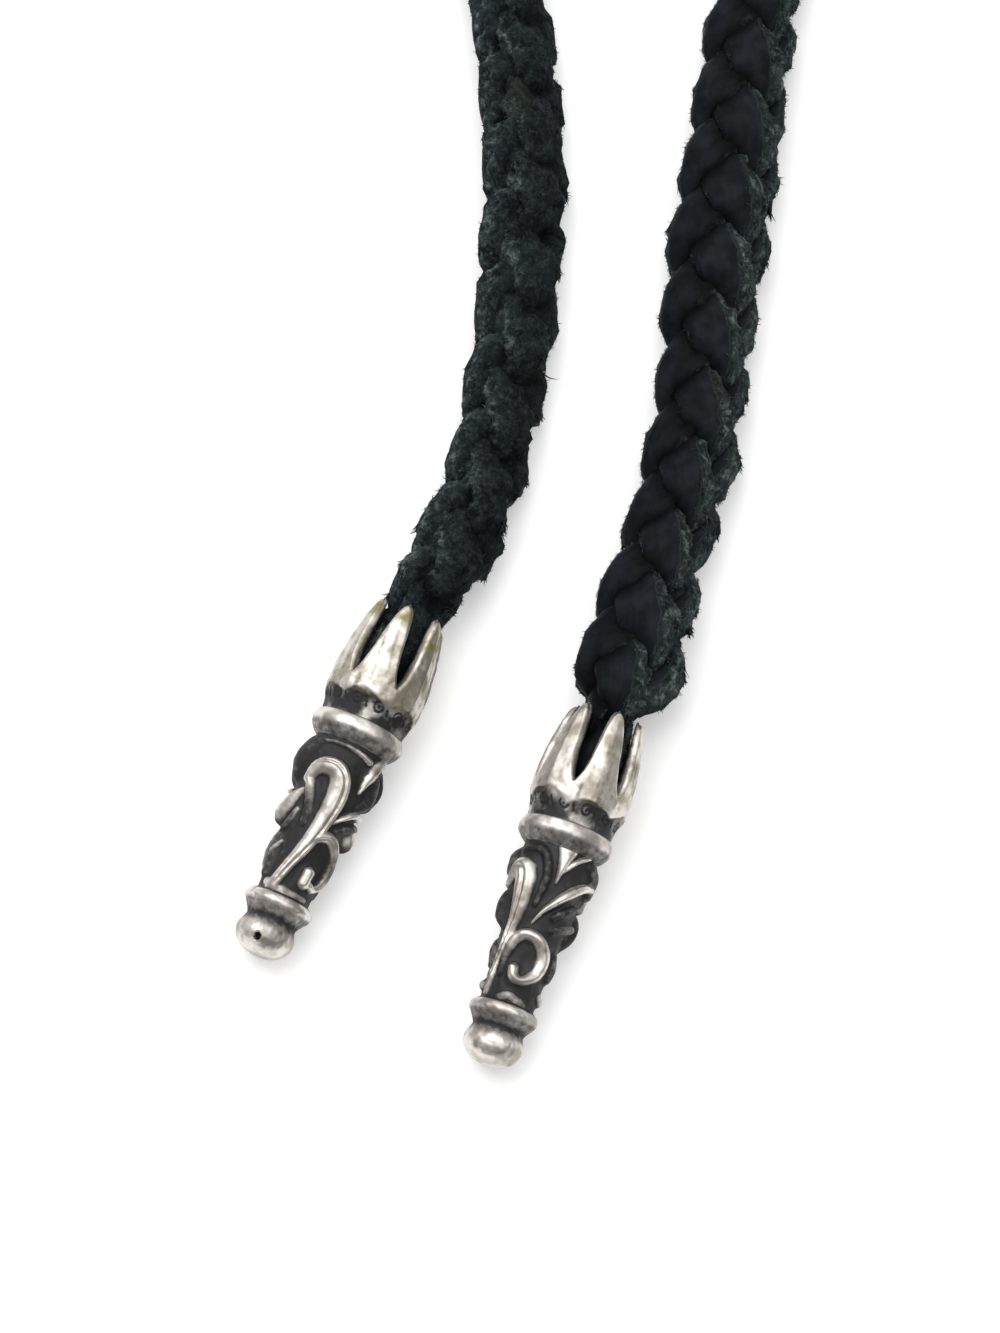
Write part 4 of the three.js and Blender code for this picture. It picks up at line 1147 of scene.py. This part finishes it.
def column_angles(name):
    """Degrees round the axis for every row and column, and each place's angle from the middle
    of its slot. Columns are drawn to the edges of the slots, and spread evenly below them."""
    sector = np.arange(COLUMNS) // COLUMNS_PER_CLAW
    c = (np.arange(COLUMNS) % COLUMNS_PER_CLAW) / (COLUMNS_PER_CLAW / 2) - 1
    slot_middle = CLAW_TURN[name] + (sector + 0.5) * 2 * CLAW_HALF
    half = np.interp(TIP_STATION, SLOT_HALF[:, 0], SLOT_HALF[:, 1])
    half = np.where(np.arange(len(half)) < SLOT_OUT - RIM_ROWS, WALL_SPLAY * half, half)
    edge = np.degrees(np.arcsin(np.clip(half / np.maximum(TIP_RADIUS, LEAST_RADIUS), 0, 0.99)))
    neutral = EDGE_COLUMN * CLAW_HALF
    below = np.maximum(LEAST_EDGE, neutral * ease(TIP_STATION, SLOT_DEPTH, SLOT_DEPTH + SLOT_FADE))
    edge = np.where(TIP_STATION < SLOT_DEPTH, np.maximum(edge, LEAST_EDGE), below)[:, None]
    outer_part = edge + (np.abs(c) - EDGE_COLUMN) / (1 - EDGE_COLUMN) * (CLAW_HALF - edge)
    inner_part = c / EDGE_COLUMN * edge
    from_slot = np.where(np.abs(c) <= EDGE_COLUMN, inner_part, np.sign(c) * outer_part)
    return slot_middle + from_slot, from_slot, edge


# %% Flats on the claws and rounded edges of the slots
EDGE_ROUND = 0.34
FACET_SHARE, FACET_RISE, FACET_DROP, FACET_ANGLE = 0.6, 0.10, 0.10, 22
FLATS_START, FLATS_END = (0.3, 1.5), (8.6, 9.6)


def flat_claws(from_slot, station, radius):
    """The round claws partly flattened: two flats meet in a ridge along the middle of each
    claw. A flat from (r1, 0) to (r2, b) has r = r1 r2 sin b / (r1 sin t + r2 sin(b - t))."""
    t = np.radians(CLAW_HALF - np.abs(from_slot))
    b = math.radians(FACET_ANGLE)
    r1, r2 = radius + FACET_RISE, radius - FACET_DROP
    flat = r1 * r2 * math.sin(b) / (r1 * np.sin(t) + r2 * np.sin(b - t))
    flatness = FACET_SHARE * ease(station, *FLATS_START) * (1 - ease(station, *FLATS_END))
    return radius + (flat - radius) * flatness


def round_slot_edges(from_slot, edge, station, radius):
    """How far the outside sinks near a slot: a quarter circle of EDGE_ROUND across the edge."""
    across = np.radians(np.abs(from_slot) - edge) * radius
    below = np.hypot(np.radians(from_slot) * radius, station - SLOT_DEPTH)
    away = np.where(station <= SLOT_DEPTH, np.maximum(across, 0), below)
    return EDGE_ROUND - np.sqrt(EDGE_ROUND ** 2 - np.clip(EDGE_ROUND - away, 0, EDGE_ROUND) ** 2)


# %% Claws and rim
CLAWS_TO = 9.7
OUTER = np.arange(len(TIP_STATION))[:, None] >= SLOT_OUT
ON_CLAWS = OUTER & (TIP_STATION[:, None] < CLAWS_TO)


def bare_skin(name):
    """Angle, angle from the slot, station and radius over the whole grid, without the band, the
    scrolls and the small unevenness. Over the rim each column runs round half a circle, from
    the hollow's lip to the outer one."""
    around, from_slot, edge = column_angles(name)
    station = np.broadcast_to(TIP_STATION[:, None], around.shape).copy()
    radius = np.broadcast_to(TIP_RADIUS[:, None], around.shape).copy()
    radius = np.where(ON_CLAWS, flat_claws(from_slot, station, radius), radius)
    radius -= np.where(OUTER, round_slot_edges(from_slot, edge, station, radius), 0)
    inner_lip, outer_lip = radius[SLOT_OUT - RIM_ROWS - 1], radius[SLOT_OUT]
    for k in range(RIM_ROWS):
        turn = math.pi * (k + 1) / (RIM_ROWS + 1)
        row = SLOT_OUT - RIM_ROWS + k
        radius[row] = (inner_lip + outer_lip - (outer_lip - inner_lip) * math.cos(turn)) / 2
        station[row] = -0.5 * (outer_lip - inner_lip) * math.sin(turn)
    return around, from_slot, station, radius


# %% Small unevenness, and the dark band with its marks
MEAN_RADIUS, RATE_SPREAD = 4, 1.6
BASE_STATION, BASE_DIP, BASE_WANDER = 9.1, 1.0, 0.22
BAND_EDGE, BAND_END = 0.22, (11.75, 11.9)
MARK_DEGREES, MM_PER_DEGREE, MARK_STATION = 30, 0.077, 10.35
RING_SIZE, RING_LEFT, STROKE_RIGHT, STROKE_LEAN = 0.46, 0.25, 0.72, 0.35
LINE_HALF = (0.05, 0.14)


def waves(around, station, count, size, seed):
    """Smooth unevenness: cosines of random direction over the unrolled skin, whose mean square
    is one half in all. The count round the axis is whole, so that it closes."""
    pick = np.random.default_rng(seed)
    turns = np.round(pick.normal(0, 2 * np.pi * MEAN_RADIUS / size, count) / RATE_SPREAD)
    rates = pick.normal(0, 2 * np.pi / size / RATE_SPREAD, count)
    starts = pick.uniform(0, 2 * np.pi, count)
    total = sum(np.cos(np.radians(around) * turn + station * rate + start)
                for turn, rate, start in zip(turns, rates, starts))
    return total / math.sqrt(count)


def claw_base(name, around, from_slot):
    """The station where the bright claws end and the dark band starts: it dips in a V below
    each slot and wanders a little."""
    wander = waves(around, 0 * around, 6, 3.0, len(name))
    dip = np.maximum(1 - np.abs(from_slot) / CLAW_HALF, 0) ** 1.5
    return BASE_STATION + BASE_DIP * dip + BASE_WANDER * wander


def band_marks(around, station):
    """Depth from 0 to 1 of the plain marks cut in the band: open rings in a row, each with a dot
    inside it and a leaning stroke beside it."""
    x = ((around % MARK_DEGREES) - MARK_DEGREES / 2) * MM_PER_DEGREE
    y = station - MARK_STATION
    to_ring = np.hypot(x + RING_LEFT, y)
    ring = (1 - ease(np.abs(to_ring - RING_SIZE), *LINE_HALF)) * (x - y < 0.35)
    stroke = 1 - ease(np.abs(x - STROKE_RIGHT - STROKE_LEAN * y), *LINE_HALF)
    stroke *= 1 - ease(np.abs(y), 0.40, 0.55)
    return np.maximum(np.maximum(ring, stroke), 1 - ease(to_ring, 0.08, 0.20))


def band_and_marks(name, around, from_slot, station):
    """How far each place belongs to the dark band, and how deep in a mark it is, from 0 to 1."""
    base = claw_base(name, around, from_slot)
    band = OUTER * ease(station, base, base + BAND_EDGE) * (1 - ease(station, *BAND_END))
    marks = OUTER * band_marks(around, station) * ease(station, base + 0.15, base + 0.45)
    return band, marks


# %% Polish and tarnish
OUTER_POLISH, INNER_POLISH, BAND_POLISH = 0.92, 0.06, (0.22, 0.26)
# Dark grooves round the tip: station, half width and how dark
COLLAR_GROOVE, BODY_GROOVE = (11.86, 0.10, 0.75), (29.9, 0.13, 0.85)
BALL_GROOVE = (32.2, 0.35, 0.80)
# The collar's lower flank is darker: patina under the collar, and painted shade on the side turned
# away from the light
COLLAR_FLANK, COLLAR_PATINA_AND_SHADE = (12.8, 13.4), 0.58
STREAK_SHARE = 0.42
NECK_FROM, NECK_TO, NECK_DULLED = (30.7, 31.2), (32.6, 33.6), 0.55
CLAW_TARNISH, END_TARNISH = 0.22, 0.8


def groove_round(station, middle, half, depth):
    """What the polish outside is multiplied by: 1 - depth exp(-((station - middle) / half)^2)."""
    return 1 - OUTER * depth * np.exp(-((station - middle) / half) ** 2)


def tip_polish(name, around, station, band, marks, body, scroll_polish):
    """Polish from 0 to 1: bright outside and dark in the hollow. Grooves, the band and its marks
    are darker, the collar's lower flank is darker with patina and painted shade, and faint
    streaks run down the claws. The body takes the polish of its scrolls."""
    polish = np.where(OUTER, OUTER_POLISH, INNER_POLISH) * np.ones_like(station)
    polish *= groove_round(station, *COLLAR_GROOVE)
    # Collar's lower flank: patina and painted shade
    polish *= 1 - OUTER * COLLAR_PATINA_AND_SHADE * ease(station, *COLLAR_FLANK) * (station < 15)
    streaks = np.clip(waves(2 * around, 0.3 * station, 12, 1.6, 7 + len(name)), 0, 1)
    polish *= 1 - STREAK_SHARE * streaks * ON_CLAWS * ease(station, 1.5, 4.5)
    mean, change = BAND_POLISH
    blotches = np.clip(mean + change * waves(around, station, 9, 2.6, 3 + len(name)), 0.04, 0.62)
    polish = np.where(band > 0, polish * (1 - band) + blotches * band, polish)
    polish *= 1 - 0.9 * marks
    polish[body] = np.where(station[body] > BODY_TOP, scroll_polish, polish[body])
    polish *= groove_round(station, *BODY_GROOVE)
    polish *= groove_round(station, *BALL_GROOVE)
    polish *= 1 - OUTER * NECK_DULLED * ease(station, *NECK_FROM) * (1 - ease(station, *NECK_TO))
    return polish


def tip_tarnish(name, around, station):
    """Olive tarnish from 0 to 1: faint on the claws and strong at their ends. One claw of the
    left tip has more of it, and the right tip has little."""
    tarnish = OUTER * (1 - ease(station, 0.6, 2.6)) * END_TARNISH
    if name == "silver_tip_left":
        tarnish += OUTER * (1 - ease(station, 2.5, 6.0)) * np.exp(-((around - 44) / 11) ** 2)
        tarnish += OUTER * 0.8 * np.exp(-((around - 56) / 2.2) ** 2) * (station < 9.5)
    else:
        tarnish *= 0.25
    return np.clip(tarnish + CLAW_TARNISH * ON_CLAWS, 0, 1)


# %% The whole skin
BAND_DEPTH, MARK_DEPTH = 0.09, 0.15
FINE_UNEVEN, BROAD_UNEVEN = 0.022, 0.035


def tip_surface(name):
    """Angle, station, radius, polish and tarnish over the whole grid: the bare skin, with the
    band and its marks sunk, a fine and a broad unevenness, and the scrolls raised on the body."""
    around, from_slot, station, radius = bare_skin(name)
    band, marks = band_and_marks(name, around, from_slot, station)
    radius -= BAND_DEPTH * band * (1 - 0.5 * ease(station, 11.0, 11.6)) + MARK_DEPTH * marks
    radius += OUTER * FINE_UNEVEN * waves(around, station, 24, 1.3, 11 + len(name))
    broad = waves(around, station, 10, 4.0, 5 + len(name))
    radius += BROAD_UNEVEN * broad * ease(station, 11.9, 12.4)

    body = OUTER[:, 0] & (TIP_STATION > BODY_TOP - 0.2) & (TIP_STATION < BODY_END + 0.1)
    down = station[body] - BODY_TOP
    height, shine = scrollwork(name, around[body].ravel(), down.ravel(), radius[body].ravel())
    fade = ease(down, -0.15, 0.15) * (1 - ease(down, 15.35, 15.65))
    radius[body] += height.reshape(fade.shape) * fade
    scroll_polish = 0.03 + 0.95 * shine.reshape(fade.shape)
    polish = tip_polish(name, around, station, band, marks, body, scroll_polish)
    return around, station, radius, polish, tip_tarnish(name, around, station)


# %% The drilling and the gouge in the balls
BALL_STATION, BALL_RADIUS, BALL_SKIN = 33.7, 2.87, 2.8
DRILLING = dict(around=-14, station=34.4, radius=0.40, depth=1.3, bezel=0.06)
GOUGE, GOUGE_STEPS, GOUGE_DEPTH = [(-44, 33.2), (-28, 33.5), (-12, 33.1)], 20, 0.20
TIP_LENGTH = {"silver_tip_left": 1.0, "silver_tip_right": 0.98}


def drilled(points, station, polish):
    """The ball with a small round hole that has a thin raised bezel: full depth inside its
    radius, and the bezel is exp(-((r - 1.35 radius) / 0.1)^2) high at r from its middle."""
    a = math.radians(DRILLING["around"])
    slope = math.asin((DRILLING["station"] - BALL_STATION) / BALL_RADIUS)
    out = np.array([math.sin(a) * math.cos(slope), -math.sin(slope), math.cos(a) * math.cos(slope)])
    from_mouth = points - (np.array([0, -BALL_STATION, 0]) + BALL_SKIN * out)
    away = np.linalg.norm(np.cross(from_mouth, out), axis=-1)
    facing = (from_mouth @ out) > -1.5
    radius = DRILLING["radius"]
    inside = (1 - ease(away, radius * 0.80, radius * 1.02)) * facing
    bezel = np.exp(-((away - radius * 1.35) / 0.10) ** 2) * facing
    near = station > 32.5
    points += (DRILLING["bezel"] * bezel - DRILLING["depth"] * inside * near)[..., None] * out
    rubbed = np.maximum(polish * (1 - inside), 0.98 * bezel * (1 - inside))
    return points, np.where(near, rubbed, polish)


def gouged(points, around, station, polish):
    """The ball with a shallow gouge along a bent line, eased to nothing at its flanks."""
    cut = np.array(GOUGE, float)
    t = np.linspace(0, 1, GOUGE_STEPS)[:, None]
    line = np.concatenate([cut[0] + (cut[1] - cut[0]) * t, cut[1] + (cut[2] - cut[1]) * t])
    x = (around[..., None] - line[:, 0]) * np.pi / 180 * BALL_SKIN
    away = np.hypot(x, station[..., None] - line[:, 1]).min(axis=-1)
    sink = GOUGE_DEPTH * (1 - ease(away, 0.05, 0.26)) * (station > 32)
    points -= sink[..., None] * unit(points - np.array([0, -BALL_STATION, 0]))
    return points, polish * (1 - 2.5 * sink)


def tip_points(name):
    """Points of the grid in the tip's own frame (across, towards the braid, up) in
    millimetres, with polish and tarnish."""
    around, station, radius, polish, tarnish = tip_surface(name)
    turn = np.radians(around)
    points = np.stack([radius * np.sin(turn), -station, radius * np.cos(turn)], axis=-1)
    if name == "silver_tip_left":
        points, polish = drilled(points, station, polish)
    else:
        points, polish = gouged(points, around, station, polish)
    points[..., 1] *= TIP_LENGTH[name]
    return points, polish, tarnish


# %% Faces of the grid and walls of the slots
def grid_faces():
    """Quads of the grid that are not inside a slot."""
    i, j = grid_numbers(len(TIP_STATION) - 1, COLUMNS)
    in_sector = j % COLUMNS_PER_CLAW
    first, last = slot_columns()
    between_edges = (in_sector >= first) & (in_sector < last)
    cut = (i >= SLOT_IN) & (i < SLOT_OUT + SLOT_ROWS - 1) & between_edges
    return quads_at(i[~cut], j[~cut], COLUMNS)


def slot_columns():
    """The columns of a sector that run along the two edges of its slot."""
    half = int(round(EDGE_COLUMN * COLUMNS_PER_CLAW / 2))
    return COLUMNS_PER_CLAW // 2 - half, COLUMNS_PER_CLAW // 2 + half


RIM_LEVELS = np.arange(1, RIM_ROWS + 1) / (RIM_ROWS + 1)


def slot_walls(points, first_new):
    """New points and quads that join the outside to the hollow along the edge of every slot. The
    edge goes down one side, across the slot's end and up the other side."""
    first, last = slot_columns()
    down, end_columns = np.arange(SLOT_ROWS), np.arange(first + 1, last)
    path_row = np.concatenate([down, np.full(len(end_columns), SLOT_ROWS - 1), down[::-1]])
    path_column = np.concatenate([np.full(SLOT_ROWS, first), end_columns, np.full(SLOT_ROWS, last)])
    level = RIM_LEVELS[:, None]
    new_points, new_faces = [], []
    for sector in range(CLAWS):
        column = sector * COLUMNS_PER_CLAW + path_column
        outer = (SLOT_OUT + path_row) * COLUMNS + column
        inner = (SLOT_IN + SLOT_ROWS - 1 - path_row) * COLUMNS + column
        between = points[outer][:, None] * (1 - level) + points[inner][:, None] * level
        numbers = np.arange(between[..., 0].size).reshape(len(outer), -1)
        numbers += first_new + sum(len(p) for p in new_points)
        for end in (0, -1):
            numbers[end] = (SLOT_OUT - 1 - np.arange(RIM_ROWS)) * COLUMNS + column[end]
        web = np.column_stack([outer, numbers, inner])
        new_points.append(between.reshape(-1, 3))
        corners = [web[1:, :-1], web[:-1, :-1], web[:-1, 1:], web[1:, 1:]]
        new_faces.append(np.stack(corners, axis=-1).reshape(-1, 4))
    return np.concatenate(new_points), np.concatenate(new_faces)


def outward(points, *groups):
    """The face groups turned to point outwards, by the sign of the volume they enclose."""
    volume = 0
    for faces in groups:
        a = points[faces[:, 0]]
        for k in range(1, faces.shape[1] - 1):
            normals = np.cross(points[faces[:, k]], points[faces[:, k + 1]])
            volume += np.einsum("ij,ij->i", a, normals).sum()
    return groups if volume > 0 else tuple(faces[:, ::-1] for faces in groups)


# %% One tip in place
INNER_END_POLISH, WALL_POLISH = 0.05, 0.75


def add_tip(name):
    """One silver tip in place of its solid: the grid, a fan of triangles on each of its ends,
    and the walls of the slots, whose polish falls from the outside to the hollow."""
    grid, polish, tarnish = tip_points(name)
    rows = len(grid)
    points = grid.reshape(-1, 3)
    ends = np.array([grid[0].mean(axis=0), grid[-1].mean(axis=0)])
    walls, wall_faces = slot_walls(points, rows * COLUMNS + 2)
    points = np.concatenate([points, ends, walls])
    j = np.arange(COLUMNS)
    k = (j + 1) % COLUMNS
    last = (rows - 1) * COLUMNS
    inner_end, outer_end = np.full(COLUMNS, rows * COLUMNS), np.full(COLUMNS, rows * COLUMNS + 1)
    fans = np.concatenate([np.stack([k, j, inner_end], axis=1),
                           np.stack([last + j, last + k, outer_end], axis=1)])
    along, across, up, mouth = TIP_FRAMES[name]
    placed = mouth + MM * (points[:, :1] * across + points[:, 1:2] * along + points[:, 2:] * up)
    faces = outward(placed, grid_faces(), wall_faces, fans)
    tip = new_piece(name + "_casting", placed, *faces)
    depth = np.tile(RIM_LEVELS, len(walls) // RIM_ROWS)
    end_polish = [INNER_END_POLISH, polish[-1].mean()]
    wall_polish = WALL_POLISH * (1 - depth)
    set_attribute(tip, "polish", np.concatenate([polish.ravel(), end_polish, wall_polish]))
    set_attribute(tip, "tarnish", np.concatenate([tarnish.ravel(), [0, 0], 0 * depth]))
    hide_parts(name)
    return tip


# %% [markdown]
# ## Antique silver
# The castings were blackened all over and then rubbed, so the metal is bright on whatever
# stands out and black in every hollow. Worn edges could be looked for on the finished mesh,
# but here each ridge already knows its own height and polish. The material reads that polish
# and frays its border with noise, as the grain of a cast skin does.

# %% Antique silver
SILVER_LIGHT, SILVER_DULL = (0.67, 0.63, 0.59, 1), (0.36, 0.33, 0.295, 1)
PATINA, OLIVE, RUST = (0.007, 0.007, 0.0085, 1), (0.26, 0.23, 0.06, 1), (0.17, 0.105, 0.06, 1)
SKIN_RAGGED, SKIN_RELIEF = 0.70, 0.08 * MM
PATINA_TO, BARE_FROM = 0.12, 0.88
RUST_SHARE, OLIVE_SHARE, OLIVE_IN_CLOUDS = 0.55, 0.35, 0.6
PATINA_METAL, PATINA_ROUGH, SILVER_ROUGH = 0.10, 0.55, 0.34
CLOUDS_ROUGHER, OLIVE_ROUGHER = 0.12, 0.25


def silver_material():
    """Worn silver on whatever stands out, black patina in the hollows, and a border between
    them that is broken up by the cast skin. Duller clouds, brown stains and olive tarnish lie
    over the silver."""
    material, tree, shader = new_material("antique_silver")
    place = add_node(tree, "ShaderNodeTexCoord")
    skin = use_group(tree, MOTTLING, {
        "Vector": place.outputs["Object"], "Scale": 1600.0, "Detail": 5.0,
        "Low": 0.35, "High": 0.65})
    cloud = use_group(tree, MOTTLING, {
        "Vector": place.outputs["Object"], "Scale": 420.0, "Detail": 4.0,
        "Low": 0.40, "High": 0.66})
    stains = use_group(tree, MOTTLING, {
        "Vector": place.outputs["Object"], "Scale": 700.0, "Detail": 3.0,
        "Low": 0.60, "High": 0.74})
    polish, tarnish = (attribute(tree, name) for name in ("polish", "tarnish"))
    grainy = math_node(tree, "SUBTRACT", skin.outputs["Height"], 0.5)
    ragged = math_node(tree, "ADD", polish, math_node(tree, "MULTIPLY", grainy, SKIN_RAGGED))
    bright = add_node(tree, "ShaderNodeMapRange", {
        "Value": ragged, "From Min": PATINA_TO, "From Max": BARE_FROM},
        interpolation_type="SMOOTHSTEP").outputs["Result"]
    worn = mix_colours(tree, cloud.outputs["Mask"], SILVER_LIGHT, SILVER_DULL)
    rusty = math_node(tree, "MULTIPLY", stains.outputs["Mask"], RUST_SHARE)
    colour = mix_colours(tree, bright, PATINA, mix_colours(tree, rusty, worn, RUST))
    in_clouds = math_node(tree, "MULTIPLY", cloud.outputs["Mask"], OLIVE_IN_CLOUDS)
    olive_share = math_node(tree, "ADD", OLIVE_SHARE, in_clouds)
    olive = math_node(tree, "MULTIPLY", tarnish, olive_share)
    tree.links.new(mix_colours(tree, olive, colour, OLIVE), shader.inputs["Base Color"])
    tree.links.new(mix_values(tree, bright, PATINA_METAL, 1.0), shader.inputs["Metallic"])
    rough = mix_values(tree, bright, PATINA_ROUGH, SILVER_ROUGH)
    rougher_clouds = math_node(tree, "MULTIPLY", cloud.outputs["Mask"], CLOUDS_ROUGHER)
    rougher_olive = math_node(tree, "MULTIPLY", olive, OLIVE_ROUGHER)
    rougher = math_node(tree, "ADD", rougher_clouds, rougher_olive)
    tree.links.new(math_node(tree, "ADD", rough, rougher), shader.inputs["Roughness"])
    bump = add_node(tree, "ShaderNodeBump", {
        "Height": skin.outputs["Height"], "Strength": 0.5, "Distance": SKIN_RELIEF})
    tree.links.new(bump.outputs["Normal"], shader.inputs["Normal"])
    return material


silver = silver_material()
for name in TIPS:
    tip = add_tip(name)
    tip.data.materials.append(silver)
    print(tip.name, len(tip.data.polygons), "faces")
